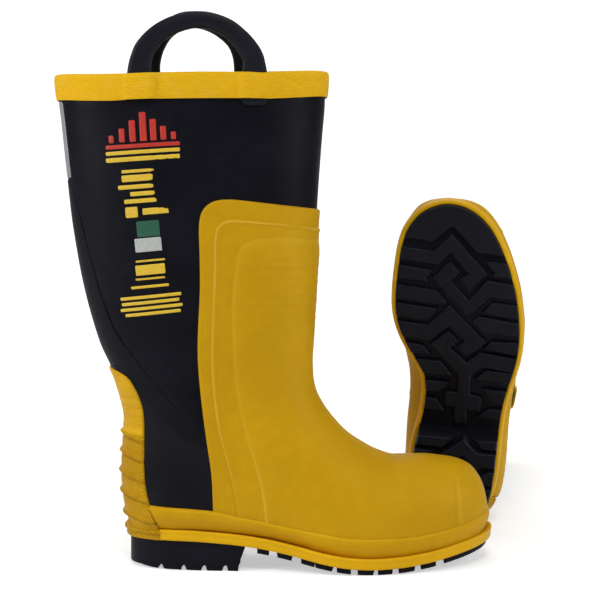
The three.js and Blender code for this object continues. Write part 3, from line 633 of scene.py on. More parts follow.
def knurl(shader, coord, mid, colour):
    """Staggered dots on the lower heel, horizontal ribs above. Gives colour, height, strength."""
    dot_row, dot_column, rib_pitch = 1.75, 2.6, 1.7
    axis_x, mean_radius = 42.0, 40.0   # of the heel's round back
    x, y, z = shader.separate(coord)
    angle = shader.math("ARCTAN2", y, shader.sub(axis_x, x))
    arc = shader.mul(angle, mean_radius)
    tilted = shader.add(z, shader.mul(x, 0.2))
    row = shader.div(tilted, dot_row)
    stagger = shader.mul(shader.math("MODULO", shader.math("FLOOR", row), 2.0), 0.5)
    column = shader.add(shader.div(arc, dot_column), stagger)

    def peak(value):
        off_centre = shader.math("ABSOLUTE", shader.sub(shader.math("FRACT", value), 0.5))
        return shader.wave(off_centre, 2, "COSINE")

    dot = shader.mul(peak(column), peak(row))
    low = shader.mul(shader.ramp(z, 107.5, 110.5, to=(1, 0)), shader.attr("kn"))
    rib = shader.wave(tilted, rib_pitch, "COSINE")
    high = shader.mul(shader.ramp(z, 111, 115), shader.attr("kn"))
    shade_patchiness = shader.spread(shader.noise(coord, scale=0.12, detail=3, rough=0.5), 0.25, 0.75)
    # painted shade between the dots, then between the ribs, in patches
    shade_between_dots = shader.mul(shader.ramp(dot, 0.15, 0.62, to=(1, 0)), low, shade_patchiness)
    colour = shader.mix(shade_between_dots, colour, (0.40, 0.19, 0.006))
    shade_between_ribs = shader.mul(shader.ramp(rib, -1, 0.1, to=(0.5, 0)), high, shade_patchiness)
    colour = shader.mix(shade_between_ribs, colour, (0.42, 0.20, 0.006))
    return colour, shader.add(shader.mul(dot, low), shader.mul(rib, high, 0.25)), 1.0


def ridges(shader, coord, mid, colour):
    """Painted highlights and painted shade on the steps of the overlay. Gives colour, height,
    strength.
    """
    step_1, step_2 = shader.attr("d1"), shader.attr("d2")
    z = shader.separate(coord)[2]
    line, mul, ramp = shader.line, shader.mul, shader.ramp
    up = ramp(z, 60, 120)
    low = shader.sub(1.0, up)
    patchy = shader.spread(mid, 0.45, 1.0)
    bead = mul(line(step_1, 0.7, 1.15), shader.add(mul(up, 0.7), 0.3))
    ribs = mul(mul(shader.wave(z, 7.4), ramp(step_2, 2, 10)),
               mul(ramp(z, 176, 200), ramp(z, 250, 262, to=(1, 0))))
    at_toe = mul(ramp(z, 32, 42), ramp(z, 62, 76, to=(1, 0)))
    for mask, tint in (
            # first step: painted highlight on the bead, painted shade at its foot
            (mul(bead, patchy, 0.5), (0.86, 0.55, 0.05)),
            (mul(line(step_1, -1.3, 0.9), patchy, 0.30), (0.34, 0.17, 0.004)),
            # second step: soft painted highlight on its edge, painted shade at its foot, and a
            # crisp painted highlight on the edge low down
            (mul(line(step_2, 1.0, 2.0), 0.30, patchy), (0.80, 0.50, 0.035)),
            (mul(line(step_2, -1.2, 1.4), patchy, 0.18), (0.38, 0.20, 0.004)),
            (mul(line(step_2, 0.4, 0.5), low, 0.5), (0.85, 0.56, 0.06)),
            # painted shade between the shin ribs
            (mul(ramp(ribs, -1, 1, to=(0.07, 0)), patchy), (0.36, 0.19, 0.004)),
            # edge of the toe cap: painted shade behind it, painted highlight in front
            (mul(line(shader.attr("cap"), -1.8, 1.8), at_toe, 0.16), (0.36, 0.19, 0.004)),
            (mul(line(shader.attr("cap"), 1.4, 1.8), at_toe, 0.22), (0.84, 0.53, 0.04))):
        colour = shader.mix(mask, colour, tint)
    return colour, shader.add(mul(bead, 1.0), mul(ribs, 0.06)), 0.6


def yellow_rubber(name, base, relief=None, roughness=0.46):
    shader = Shader(name)
    coord = shader.coord()
    big = shader.noise(coord, scale=0.016, detail=3, rough=0.5)
    mid = shader.noise(coord, scale=0.11, detail=5, rough=0.6)
    fine = shader.noise(coord, scale=1.6, detail=3, rough=0.6)
    colour = shader.mix(shader.spread(big), scaled(base, 0.93, 0.93, 0.93),
                        scaled(base, 1.06, 1.08, 1.3))
    colour = shader.mix(shader.ramp(mid, 0.35, 0.75, to=(0, 0.35)), colour,
                        scaled(base, 0.86, 0.80, 1.4))
    # a few dark specks
    moved = shader.node("VectorMath", {0: coord, 1: (3.1, 7.7, 1.3)}, operation="ADD")
    specks = shader.cells(moved.outputs[0], scale=0.055)
    colour = shader.mix(shader.ramp(specks, 0.012, 0.02, to=(0.75, 0)), colour,
                        (0.06, 0.035, 0.012))
    # painted shade in the hollows, in patches
    hollow_shade = shader.ramp(shader.attr("cav"), 0, 1, to=(0, 0.72))
    colour = shader.mix(shader.mul(hollow_shade, shader.spread(mid, 0.6, 1.0)), colour,
                        (0.22, 0.10, 0.006))
    normal = shader.bump(fine, depth=0.00006, strength=0.55)
    normal = shader.bump(mid, depth=0.00045, strength=0.45, normal=normal)
    if relief:
        colour, height, strength = relief(shader, coord, mid, colour)
        normal = shader.bump(height, depth=0.0009, strength=strength, normal=normal)
    gloss = shader.noise(coord, scale=0.35, detail=4, rough=0.6)
    shader.set("Base Color", colour)
    shader.set("Roughness", shader.spread(gloss, roughness - 0.05, roughness + 0.09))
    shader.set("Specular IOR Level", 0.26)
    shader.set("Specular Tint", (1.0, 0.80, 0.30, 1))
    shader.set("Normal", normal)


def black_rubber(name, base, roughness, dust, specular, tread=False):
    shader = Shader(name)
    coord = shader.coord()
    big = shader.noise(coord, scale=0.02, detail=3, rough=0.5)
    mid = shader.noise(coord, scale=0.14, detail=5, rough=0.6)
    fine = shader.noise(coord, scale=2.2, detail=3, rough=0.65)
    colour = shader.mix(shader.spread(big), scaled(base, 0.8, 0.8, 0.8),
                        scaled(base, 1.35, 1.35, 1.35))
    film = shader.mul(shader.ramp(mid, 0.45, 0.8), shader.ramp(big, 0.4, 0.65, to=(0, dust)))
    colour = shader.mix(film, colour, (0.013, 0.013, 0.013))
    # painted sheen: lighter grey along the quarter's edge on the leg and in clouds over the ankle
    # quarter
    colour = shader.mix(shader.attr("cav"), colour, (0.018, 0.0182, 0.0192))
    normal = shader.bump(fine, depth=0.00005, strength=0.5)
    normal = shader.bump(mid, depth=0.0004, strength=0.35, normal=normal)
    if tread:
        # light specks, painted highlights along the lug rims, and greyer faces of the lugs
        specks = shader.cells(coord, scale=0.62)
        colour = shader.mix(shader.ramp(specks, 0.10, 0.2, to=(0.5, 0)), colour,
                            (0.030, 0.031, 0.040))
        flat = shader.attr("flat")
        # painted highlight on the chamfers between the lug sides and the tread faces
        rim = shader.math("MULTIPLY", shader.mul(flat, shader.sub(1.0, flat)),
                          shader.spread(mid, 1.2, 4.0), clamp=True)
        colour = shader.mix(rim, colour, (0.060, 0.063, 0.082))
        colour = shader.mix(shader.mul(shader.ramp(flat, 0.9, 1.0), 0.55), colour,
                            (0.0125, 0.0132, 0.0195))
        grain = shader.noise(shader.stretch(coord, (1.0, 1.9, 1.0)), scale=1.25, detail=3,
                             rough=0.7)
        normal = shader.bump(shader.mul(grain, shader.attr("flat")), depth=0.0009,
                             normal=normal)
    gloss = shader.noise(coord, scale=0.3, detail=4, rough=0.6)
    shader.set("Base Color", colour)
    shader.set("Roughness", shader.spread(gloss, roughness - 0.06, roughness + 0.12))
    shader.set("Specular IOR Level", specular)
    shader.set("Normal", normal)


def plain(name, dark, light, scale, roughness, depth, metallic=0.0, weave=0,
          stretch=(1, 1, 1)):
    """Mottled material. With a weave pitch (mm) it uses boot coordinates, else the object's."""
    shader = Shader(name)
    if weave:
        coord = shader.coord()
    else:
        coord = shader.node("TexCoord", {}).outputs["Object"]
        coord = shader.stretch(coord, (1000, 1000, 1000))
    mottle = shader.noise(shader.stretch(coord, stretch), scale, detail=5, rough=0.6)
    shader.set("Base Color", shader.mix(shader.spread(mottle), dark, light))
    shader.set("Roughness", shader.spread(mottle, roughness - 0.08, roughness + 0.08))
    shader.set("Metallic", metallic)
    height = mottle
    if weave:
        x, y, z = shader.separate(coord)
        warp = shader.wave(shader.add(x, y), weave)
        height = shader.add(shader.mul(warp, shader.wave(z, weave)), shader.mul(mottle, 0.6))
    shader.set("Normal", shader.bump(height, depth, strength=0.8))


def yellow_tape():
    row_pitch, warp_pitch = 1.45, 1.05
    axis_x, mean_radius = 58.0, 90.0   # of the collar
    shader = Shader("yellow_tape")
    coord = shader.coord()
    x, y, z = shader.separate(coord)
    arc = shader.mul(shader.math("ARCTAN2", y, shader.sub(x, axis_x)), mean_radius)
    wobble = shader.noise(shader.stretch(coord, (1, 1, 2)), scale=0.06, detail=2, rough=0.5)
    rows = shader.wave(shader.add(z, shader.mul(wobble, 1.1)), row_pitch)
    warp = shader.wave(arc, warp_pitch)
    streaks = shader.noise(shader.stretch(coord, (0.4, 0.4, 2.5)), scale=0.5, rough=0.6)
    colour = shader.mix(shader.spread(streaks), (0.90, 0.49, 0.008), (1.0, 0.58, 0.018))
    colour = shader.mix(shader.ramp(rows, -1, -0.2, to=(0.30, 0)), colour,
                        (0.55, 0.27, 0.004))
    faded = shader.noise(coord, scale=0.05, detail=5, rough=0.6)
    colour = shader.mix(shader.ramp(faded, 0.52, 0.75, to=(0, 0.35)), colour,
                        (0.9, 0.62, 0.12))
    shader.set("Base Color", colour)
    shader.set("Roughness", 0.62)
    shader.set("Specular IOR Level", 0.12)
    shader.set("Specular Tint", (1.0, 0.85, 0.5, 1))
    height = shader.add(rows, shader.mul(warp, 0.35))
    shader.set("Normal", shader.bump(height, depth=0.00022, strength=0.8))


def reflective_tape():
    shader = Shader("reflective_tape")
    coord = shader.coord()
    _, y, z = shader.separate(coord)
    cells = shader.cells(shader.combine(y, z, 0.0), scale=0.28, feature="DISTANCE_TO_EDGE")
    glint = shader.cells(shader.combine(y, z, 3.0), scale=0.8, output="Color")
    colour = shader.mix(shader.ramp(cells, 0.0, 0.05, to=(1, 0)), (0.34, 0.35, 0.37),
                        (0.60, 0.61, 0.62))
    shader.set("Base Color", shader.mix(0.18, colour, glint, "OVERLAY"))
    shader.set("Metallic", 0.45)
    shader.set("Roughness", shader.spread(shader.noise(coord, scale=0.5), 0.26, 0.45))
    shader.set("Normal", shader.bump(cells, depth=0.0006, strength=0.6))


def ink(name, dark, light):
    shader = Shader(name)
    coord = shader.coord()
    mottle = shader.noise(coord, scale=0.5, detail=4, rough=0.6)
    worn = shader.noise(coord, scale=1.7, detail=5, rough=0.7)
    colour = shader.mix(shader.spread(mottle), dark, light)
    colour = shader.mix(shader.ramp(worn, 0.62, 0.70, to=(0, 0.7)), colour,
                        (0.02, 0.015, 0.012))
    shader.set("Base Color", colour)
    shader.set("Roughness", 0.5)
    shader.set("Normal", shader.bump(worn, depth=0.00005, strength=0.5))


yellow_rubber("yellow_rubber", base=(0.66, 0.363, 0.0046))
yellow_rubber("overlay_rubber", base=(0.615, 0.338, 0.0042), relief=ridges)
yellow_rubber("yellow_knurl", base=(0.80, 0.443, 0.0064), relief=knurl)
yellow_rubber("welt_rubber", base=(0.83, 0.463, 0.0064), roughness=0.38)
black_rubber("black_rubber", base=(0.0046, 0.0049, 0.0088), roughness=0.42, dust=0.5,
             specular=0.085)
black_rubber("handle_rubber", base=(0.0075, 0.008, 0.0125), roughness=0.42, dust=0.25,
             specular=0.16)
black_rubber("tread_rubber", base=(0.0050, 0.0054, 0.0100), roughness=0.40, dust=0.3,
             specular=0.11, tread=True)
plain("lining_textile", (0.50, 0.44, 0.33), (0.66, 0.60, 0.48), scale=0.4, roughness=0.92,
      depth=0.0003, weave=1.6)
plain("insole_felt", (0.05, 0.055, 0.07), (0.10, 0.105, 0.12), scale=0.8, roughness=0.95,
      depth=0.0003, weave=1.2)
plain("steel", (0.42, 0.43, 0.45), (0.60, 0.61, 0.63), scale=0.25, roughness=0.32,
      depth=0.00005, metallic=1.0, stretch=(0.1, 3, 3))
plain("fibre_board", (0.26, 0.18, 0.09), (0.36, 0.27, 0.15), scale=0.6, roughness=0.9,
      depth=0.0002)
plain("foam", (0.11, 0.11, 0.12), (0.17, 0.17, 0.18), scale=1.2, roughness=0.95, depth=0.0003)
plain("foam_filler", (0.03, 0.03, 0.035), (0.06, 0.06, 0.065), scale=1.0, roughness=0.9,
      depth=0.0003)
yellow_tape()
reflective_tape()
ink("ink_red", (0.46, 0.018, 0.012), (0.60, 0.035, 0.015))
ink("ink_yellow", (0.72, 0.46, 0.02), (0.82, 0.56, 0.04))
ink("ink_grey", (0.42, 0.44, 0.42), (0.55, 0.57, 0.55))
ink("ink_green", (0.008, 0.085, 0.045), (0.014, 0.12, 0.065))

# ------------------------------------------------------------------ outlines in side view (x, z)
# yellow overlay of shin, instep and toe, and its two raised steps
OVERLAY = np.vstack([
    [(200, 290.5), (164, 291.0)],
    chaikin([[164, 291.0], [136.7, 293.8], [110, 296.8], [92, 298.9], [78, 297.8], [69, 290.5],
             [66.4, 278], [67.3, 256], [67.6, 226], [66, 200], [65.2, 179], [66.3, 156],
             [69.1, 129], [73, 100], [76.4, 78], [77.2, 58]], 3),
    [(77.4, 46)], trace(foxing_z, 80, 331, 5, lift=-4.0), [(330, 290)]])
STEP_1 = np.vstack([
    [(200, 275)],
    chaikin([[163, 274.5], [142.2, 277.5], [118.4, 280], [97, 281.9], [86, 281], [80.4, 274],
             [79.4, 262], [79.4, 239], [77.8, 206], [76.6, 172], [78.6, 139], [82.6, 112],
             [87.4, 95.4], [94.5, 68.4], [99, 40]], 3),
    [(99, 5), (400, 5), (400, 275)]])
STEP_2 = np.vstack([
    [(200, 266)],
    chaikin([[158, 266], [132, 268], [112, 267], [101, 263], [96.9, 253], [95.3, 239],
             [92.9, 219], [93.2, 192], [94.5, 159], [98.5, 132], [104.9, 105.7],
             [112.8, 83.5], [118, 60], [120, 40]], 3),
    [(120, 5), (400, 5), (400, 266)]])
STRIP = np.vstack([
    [(-70, 166), (-14, 164)],
    chaikin([[-14, 164], [-6, 161.5], [7.9, 155.8], [15.2, 146], [20.8, 132.4], [22.4, 120.4],
             [22.4, 99.4], [22.4, 78.5], [24, 64], [27, 53], [32, 41.5], [36, 32.8]], 2),
    [(36.2, 32.6), (36, 28), (-70, 28)]])
# black panel round the ankle, and its raised step
QUARTER = np.vstack([
    [(-80, 315.6), (-41.5, 315.6)],
    chaikin([[-41.5, 315.6], [-37.2, 307], [-31.5, 286], [-22.5, 252], [-14.5, 226],
             [-8.2, 206], [0.5, 188], [9.5, 176.5], [25, 158], [42, 139], [58, 122.4],
             [76, 110], [90, 102]], 2),
    [(110, 95), (110, 30), (-80, 30)]])
QUARTER_STEP = np.vstack([
    [(-80, 165), (-2, 163)],
    chaikin([[-2, 163], [10, 153], [22.7, 138.8], [34, 126.5], [45.8, 114.8], [56, 107.5],
             [67.3, 102], [80, 98]], 2),
    [(110, 90), (110, 30), (-80, 30)]])
FOXING = np.vstack([trace(sole_z, 36.2, 331, 6, lift=7.6), trace(foxing_z, 330, 27, -5),
                    [(27.3, 53), (31.8, 42.5), (36.0, 33)]])


# ------------------------------------------------------------------ leg and lining
# Every piece function gives vertices, faces and point attributes.
WHOLE = grid(0.0, PATH_END, 240, -1.0, 1.0, 120)


def collar(verts):
    """Lowers the collar towards the back and a little at the sides."""
    verts = np.array(verts, float)
    x, y, z = verts.T
    drop = 2.8 * smooth(75, -50, x) + 4.6 * np.clip(np.abs(y) / 50, 0, 1) ** 2
    verts[:, 2] -= drop * smooth(360, 384, z)
    return verts


def wall(outer, inner):
    """The open-topped boot wall between two offsets from the master surface."""
    points, normals, tris = WHOLE
    verts, faces = close_skin(points + normals * outer[:, None],
                              points + normals * inner[:, None], tris)
    return collar(verts), faces


def leg_piece():
    points = WHOLE[0]
    z = points[:, 2]
    wavy = unevenness(points, 0.016) * 0.9 + unevenness(points, 0.045, 9.0) * 0.25
    outer = wavy * smooth(120, 200, z) * smooth(390, 378, z)
    # faint raised field below the collar
    field = [[30, 344.5], [104, 344.5], [107.5, 341], [107.5, 290], [30, 290]]
    outer += 0.28 * smooth(-1.2, 1.2, side_distance(points, field))
    # painted sheen: a light line on the leg along the quarter's top edge
    painted_sheen = 0.55 * bell(line_distance(points[:, [0, 2]], QUARTER[2:-2]), 0, 1.1)
    return *wall(outer, np.full(len(points), -2.2)), {"cav": np.r_[painted_sheen, painted_sheen * 0]}


def lining_piece():
    points = WHOLE[0]
    inner = -6.6 + 0.35 * unevenness(points, 0.05, 4.0)
    return *wall(np.full(len(points), -2.5), inner), {}


# ------------------------------------------------------------------ layers on the leg and foot
def toe_cap_offset(points):
    """Distance in front of the slanting edge of the toe cap."""
    return points[:, 0] - 275 + 0.02 * (points[:, 2] - 50)


def overlay_height(points):
    d1, d2 = side_distance(points, STEP_1), side_distance(points, STEP_2)
    x, _, z = points.T
    up = smooth(60, 120, z)
    # first step with its bead, then the second, softer higher up
    height = 2.7 + 0.75 * smooth(-0.9, 1.3, d1) + 0.75 * bell(d1, 0.7, 1.25) * (0.35 + 0.65 * up)
    height += (0.3 + 1.1 * up) * smooth(-1.5, 3.0 + 6.5 * up, d2)
    height += 0.6 * bell(d2, 0.3, 1.0) * smooth(190, 120, z)
    # faint ribs over the shin
    ribbed = smooth(4, 14, d2) * smooth(176, 196, z) * smooth(260, 250, z)
    height += 0.13 * ribbed * np.sin(2 * np.pi * z / 7.4)
    # swelling below the top edge of the shin
    height += 0.8 * bell(z, 256, 7.0) * smooth(6, 30, d2)
    # the toe cap under the rubber
    cap_edge = bell(toe_cap_offset(points), 0, 1.6) * smooth(32, 42, z) * smooth(78, 66, z)
    height += 0.5 * cap_edge + 0.55 * smooth(266, 279, x) * smooth(84, 72, z)
    # slow unevenness of the moulded rubber
    return height + 0.35 * unevenness(points, 0.02, 2.0) + 0.10 * unevenness(points, 0.06, 6.0)


def overlay_piece():
    sheet = grid(0.0, path_at(232) + 70, 330, -1.0, 1.0, 200)
    verts, faces, attrs = layer(
        sheet, lambda points: np.minimum(side_distance(points, OVERLAY), 60), overlay_height,
        edge=2.2)
    # painted shade along the overlay's rolled edge and along the top of the foxing
    at_foxing = line_distance(verts[:, [0, 2]], trace(foxing_z, 74, 331, 6))
    attrs["cav"] = np.maximum(0.275 * bell(attrs["sd"], 0, 0.9), 0.3 * bell(at_foxing, 0, 0.8))
    attrs["d1"] = side_distance(verts, STEP_1)
    attrs["d2"] = side_distance(verts, STEP_2)
    attrs["cap"] = toe_cap_offset(verts)
    return verts, faces, attrs


def foxing_height(points):
    x, _, z = points.T
    bottom = sole_z(x) + 9.8
    share = np.clip((z - bottom) / np.maximum(foxing_z(x) - bottom, 1), 0, 1)
    height = pchip([0, 0.12, 0.3, 0.5, 0.72, 0.88, 1.0],
                   [3.7, 3.2, 3.3, 3.95, 4.9, 5.05, 4.3], share)
    height += 0.9 * smooth(120, 190, x) * smooth(0.30, 0.0, share)
    return height + 0.2 * unevenness(points, 0.02, 8.0)


def foxing_piece():
    sheet = grid(0.0, path_at(110), 210, -0.94, 0.94, 272)
    verts, faces, attrs = layer(sheet, lambda points: side_distance(points, FOXING),
                                foxing_height, edge=1.5, low=2.9)
    # painted shade in the valley between the foxing and the welt
    attrs["cav"] = 0.16 * bell(verts[:, 2] - sole_z(verts[:, 0]), 12.6, 3.4)
    return verts, faces, attrs


RIDGES = (109.5, 94.0, 78.0, 62.0, 46.5)   # heights at x = 0; they fall towards the front
RIDGE_PITCH = 15.7
GROOVES = (124.0, 131.5, 139.0)


def strip_distances(points):
    """Fall of the ridges, and heights above each ridge and above each groove."""
    fall = 0.24 * np.clip(points[:, 0], -4, 24)
    return (fall, [points[:, 2] - (z0 - fall) for z0 in RIDGES],
            [points[:, 2] - (z0 - fall * 0.3) for z0 in GROOVES])


def strip_height(points):
    x, _, z = points.T
    fall, above_ridges, above_grooves = strip_distances(points)
    height = np.full(len(points), 3.0)
    for above in above_ridges:
        height += 2.7 * (1 - 0.62 * smooth(4, 22, x)) * np.exp(-(np.abs(above) / 1.3) ** 2.4)
        height -= 0.6 * bell(above, -2.5, 0.8)
    # the strip thickens into the band below it
    height += 2.4 * smooth(52, 33, z)
    # scallops between the ridges
    phase = (z + fall - RIDGES[-1]) / RIDGE_PITCH
    height += 0.55 * np.sin(np.pi * (phase - np.floor(phase))) * smooth(118, 112, z)
    for above in above_grooves:
        height -= 0.3 * bell(above, 0, 0.5)
    return height


def strip_piece():
    sheet = grid(path_at(80), path_at(232), 150, -0.62, 0.62, 190)
    verts, faces, attrs = layer(sheet, lambda points: side_distance(points, STRIP),
                                strip_height, edge=1.6, low=1.2)
    _, above_ridges, above_grooves = strip_distances(verts)
    # painted shade under each ridge and in the grooves
    attrs["cav"] = np.maximum.reduce(
        [bell(above, -2.5, 1.15) for above in above_ridges]
        + [0.35 * bell(above, 0, 0.7) for above in above_grooves])
    attrs["kn"] = np.ones(len(verts))
    return verts, faces, attrs


def quarter_piece():
    def region(points):
        # tucks 3 mm under the overlay and the heel strip
        return np.minimum.reduce([side_distance(points, QUARTER),
                                  3 - side_distance(points, OVERLAY),
                                  3 - side_distance(points, STRIP)])

    def height(points):
        step = smooth(-0.8, 1.2, side_distance(points, QUARTER_STEP))
        return 0.85 + 0.55 * step + 0.25 * unevenness(points, 0.03, 5.0)

    sheet = grid(0.0, min(path_at(300) + 75, PATH_END), 330, -0.9, 0.9, 180)
    verts, faces, attrs = layer(sheet, region, height, inner=0.02, edge=1.8, low=0.1)
    inset = side_distance(verts, QUARTER_STEP)
    # painted sheen: a faint film over the whole quarter, lighter clouds over its raised lower part
    # that weaken higher up, none at the step's foot
    cloud = 0.5 + 0.5 * unevenness(verts, 0.022, 4.0)
    painted_sheen = (0.10 + 0.36 * smooth(-0.6, 1.0, inset) * cloud
              * (1 - 0.5 * smooth(95, 130, verts[:, 2])) - 0.10 * bell(inset, -0.9, 0.9))
    attrs["cav"] = np.clip(painted_sheen, 0, 1)
    return verts, faces, attrs


# ------------------------------------------------------------------ sole unit
PLAN = resample(catmull(SOLE_PLAN, 10), 300)


def plan_normals():
    tangents = np.roll(PLAN, -1, 0) - np.roll(PLAN, 1, 0)
    tangents /= np.linalg.norm(tangents, axis=1)[:, None]
    normals = np.column_stack([tangents[:, 1], -tangents[:, 0]])
    return -normals if ((PLAN - PLAN.mean(0)) * normals).sum() < 0 else normals


PLAN_NORMALS = plan_normals()
# profiles: distance out from the sole outline, height above the sole's lower edge
SOLE_EDGE_PROFILE = np.array([
    (0.35, 3.6), (0.35, 1.7), (0.7, 1.4), (2.6, 1.4), (3.3, 1.8), (3.65, 2.6), (3.75, 4.0),
    (3.85, 5.6), (4.1, 7.2), (4.55, 8.3), (4.7, 9.0), (4.5, 9.7), (3.9, 10.2), (2.6, 10.4),
    (0.6, 10.0), (-3.0, 9.45), (-7.0, 9.4), (-7.0, 3.7)])
HEEL_PROFILE = np.array([
    (0.35, 3.6), (0.35, 1.3), (0.7, 1.0), (2.5, 1.0), (3.1, 1.4), (3.4, 2.4), (3.2, 3.4),
    (3.3, 5.2), (3.7, 6.3), (5.0, 7.0), (5.0, 8.4), (3.6, 9.4), (3.2, 10.6), (1.6, 12.0),
    (-1.0, 12.0), (-5.0, 11.0), (-7.0, 9.3), (-7.0, 3.7)])


def plan_sweep(profile, kept):
    """Sweeps a profile round the kept part of the sole plan, up to the heel split.

    Gives vertices, faces and the vertices' heights above the sole's lower edge.
    """
    first = int(np.nonzero(kept & ~np.roll(kept, 1))[0][0])
    index = np.roll(np.arange(len(PLAN)), -first)[:int(kept.sum())]

    def end(last, beyond):
        p, q = PLAN[last], PLAN[beyond % len(PLAN)]
        return p + (q - p) * (HEEL_SPLIT_X - p[0]) / (q[0] - p[0]), PLAN_NORMALS[last]

    stations = [end(index[0], index[0] - 1)]
    stations += [(PLAN[i], PLAN_NORMALS[i]) for i in index]
    stations.append(end(index[-1], index[-1] + 1))
    rings = []
    for point, normal in stations:
        xy = point + normal * profile[:, :1]
        rings.append(np.column_stack([xy, sole_z(xy[:, 0]) + profile[:, 1]]))
    verts, faces = sweep(rings)
    return verts, faces, verts[:, 2] - sole_z(verts[:, 0])


def sole_edge_piece():
    verts, faces, height = plan_sweep(SOLE_EDGE_PROFILE, PLAN[:, 0] >= HEEL_SPLIT_X)
    # painted shade along the top of the welt, where it meets the foxing
    return verts, faces, {"cav": 0.12 * bell(height, 10.4, 0.5)}


def heel_band_piece():
    verts, faces, height = plan_sweep(HEEL_PROFILE, PLAN[:, 0] <= HEEL_SPLIT_X)
    # painted shade in the recess under the heel band's flange
    return verts, faces, {"kn": np.ones(len(verts)), "cav": 0.9 * bell(height, 5.7, 0.6)}


# Lug outlines (x, y). Lugs that reach the rim are drawn past it and trimmed to the plan.
SOLE_LUGS = [
    [[274.7, 51], [272.4, 27.3], [286.8, 11], [265, -11.4], [260.9, -60], [320, -60],
     [320, 70], [276, 70]],
    [[268.1, 70], [263.7, 25.7], [279.1, 11.2], [246.7, -21.1], [231.8, -6], [240.8, 2.1],
     [246.4, -4.7], [263.8, 11.5], [253, 21], [256.8, 70]],
    [[252.1, 70], [247.2, 26], [241, 32.1], [237.6, 29.6], [240.3, 70]],
    [[241.3, 25.7], [255.6, 11.1], [246.6, 2.4], [239.7, 10.3], [222.9, -5.9], [241.1, -21.4],
     [236.7, -60], [224.5, -60], [227.5, -25.1], [209.4, -5.7]],
    [[257.8, -18.8], [254.6, -60], [242.2, -60], [245.2, -25.9], [248.5, -27.5]],
    [[234.9, 70], [230, 21.6], [220.2, 12.8], [218.2, 16.8], [222.6, 70]],
    [[219, 70], [213.9, 20.7], [204, 29.6], [206.8, 70]],
    [[202.7, 70], [198.8, 27.9], [218, 10.3], [186.1, -23.1], [172.9, -6.8], [180.7, 1.3],
     [186.4, -4.9], [199.8, 9.4], [185.4, 25.7], [188.8, 70]],
    [[213, -18.8], [222.3, -27.7], [219.5, -60], [207.5, -60]],
    [[204.9, -11], [209.3, -14.9], [204, -60], [191.7, -60], [196.5, -17.9]],
    [[180.8, -21.7], [187, -27.8], [187.6, -60], [174.6, -60]],
    [[181.6, 24.5], [195, 10.3], [186.6, 1.6], [179.5, 8.3], [165.9, -7.1], [176.4, -17.8],
     [171.1, -60], [157.4, -60], [163, -20.2], [154.3, -10.7], [135.2, -11.1], [133.1, -21.8],
     [119.5, -20.2], [120.6, -8.9], [107, -9.2], [107, 1.4], [122.5, 1.2], [123.7, 10.7],
     [136.7, 9.6], [136.7, -0.4], [154.4, -0.7]],
    [[184.2, 60], [179.7, 31.9], [172.4, 25], [172.7, 60]],
    [[167.7, 60], [165.9, 15.8], [153.4, 5.4], [154.5, 60]],
    [[148.1, 60], [145.7, 7.7], [136.1, 16], [135.8, 60]],
    [[130.5, 60], [129.2, 18.6], [117.8, 11], [119.9, 60]],
    [[151, -15.6], [159.7, -24.5], [157.9, -60], [146.4, -60]],
    [[141.4, -22.5], [139.5, -60], [129.4, -60], [128.8, -29.7]],
    [[114.1, -18.7], [122.2, -27.7], [122.3, -60], [111.3, -60]],
]
HEEL_LUGS = [
    [[99.7, 60], [97.4, 1.1], [88.4, 10.9], [89.6, 60]],
    [[86.6, 60], [84.5, 18], [73.4, 27.5], [74.8, 60]],
    [[96.4, -17.8], [99.3, -60], [88.8, -60], [88.8, -24]],
    [[72.3, 25.1], [97, -7.8], [85.4, -20], [85.4, -60], [71.8, -60], [71.8, -27],
     [68.8, -19.3], [81.7, -7.4], [69.3, 9.9], [60, 18], [60, 60], [71, 60]],
    [[64, 9], [72, -5], [60, -17], [68.4, -31], [68.4, -60], [55.2, -60], [55.2, -30],
     [50, -12], [55, 0], [50, 12], [48.5, 60], [56.6, 60], [56, 14]],
    [[30.5, 60], [30.5, 28], [26, 0], [33.4, -28], [33.4, -60], [-5, -60], [-5, 60]],
    [[45, 60], [43, 8], [48, 0], [37, 0], [33, 4], [34, 60]],
    [[48, 0], [43, -8], [52, -28], [52, -60], [36.8, -60], [36.8, -28], [33, -4], [37, 0]],
]
# Lug flanks from root to tread face: offset out from the outline, height above the sole's
# lower edge (sole lugs) or above the ground (heel lugs).
SOLE_LUG_FLANK = ((0.75, 1.7), (0.30, -2.3), (0.05, -2.75), (-0.55, -3.3))
HEEL_LUG_FLANK = ((2.2, 5.0), (0.8, 2.7), (-0.5, 0.7), (-1.2, 0.0))


def plan_crossing(start, end):
    """First crossing of a segment with the sole plan: point and plan edge index."""
    best = None
    span = end - start
    for i, corner in enumerate(PLAN):
        side = PLAN[(i + 1) % len(PLAN)] - corner
        cross = span[0] * side[1] - span[1] * side[0]
        if abs(cross) < 1e-12:
            continue
        gap = corner - start
        t = (gap[0] * side[1] - gap[1] * side[0]) / cross
        u = (gap[0] * span[1] - gap[1] * span[0]) / cross
        if 0 <= t <= 1 and 0 <= u <= 1 and (best is None or t < best[0]):
            best = (t, i)
    return start + best[0] * span, best[1]


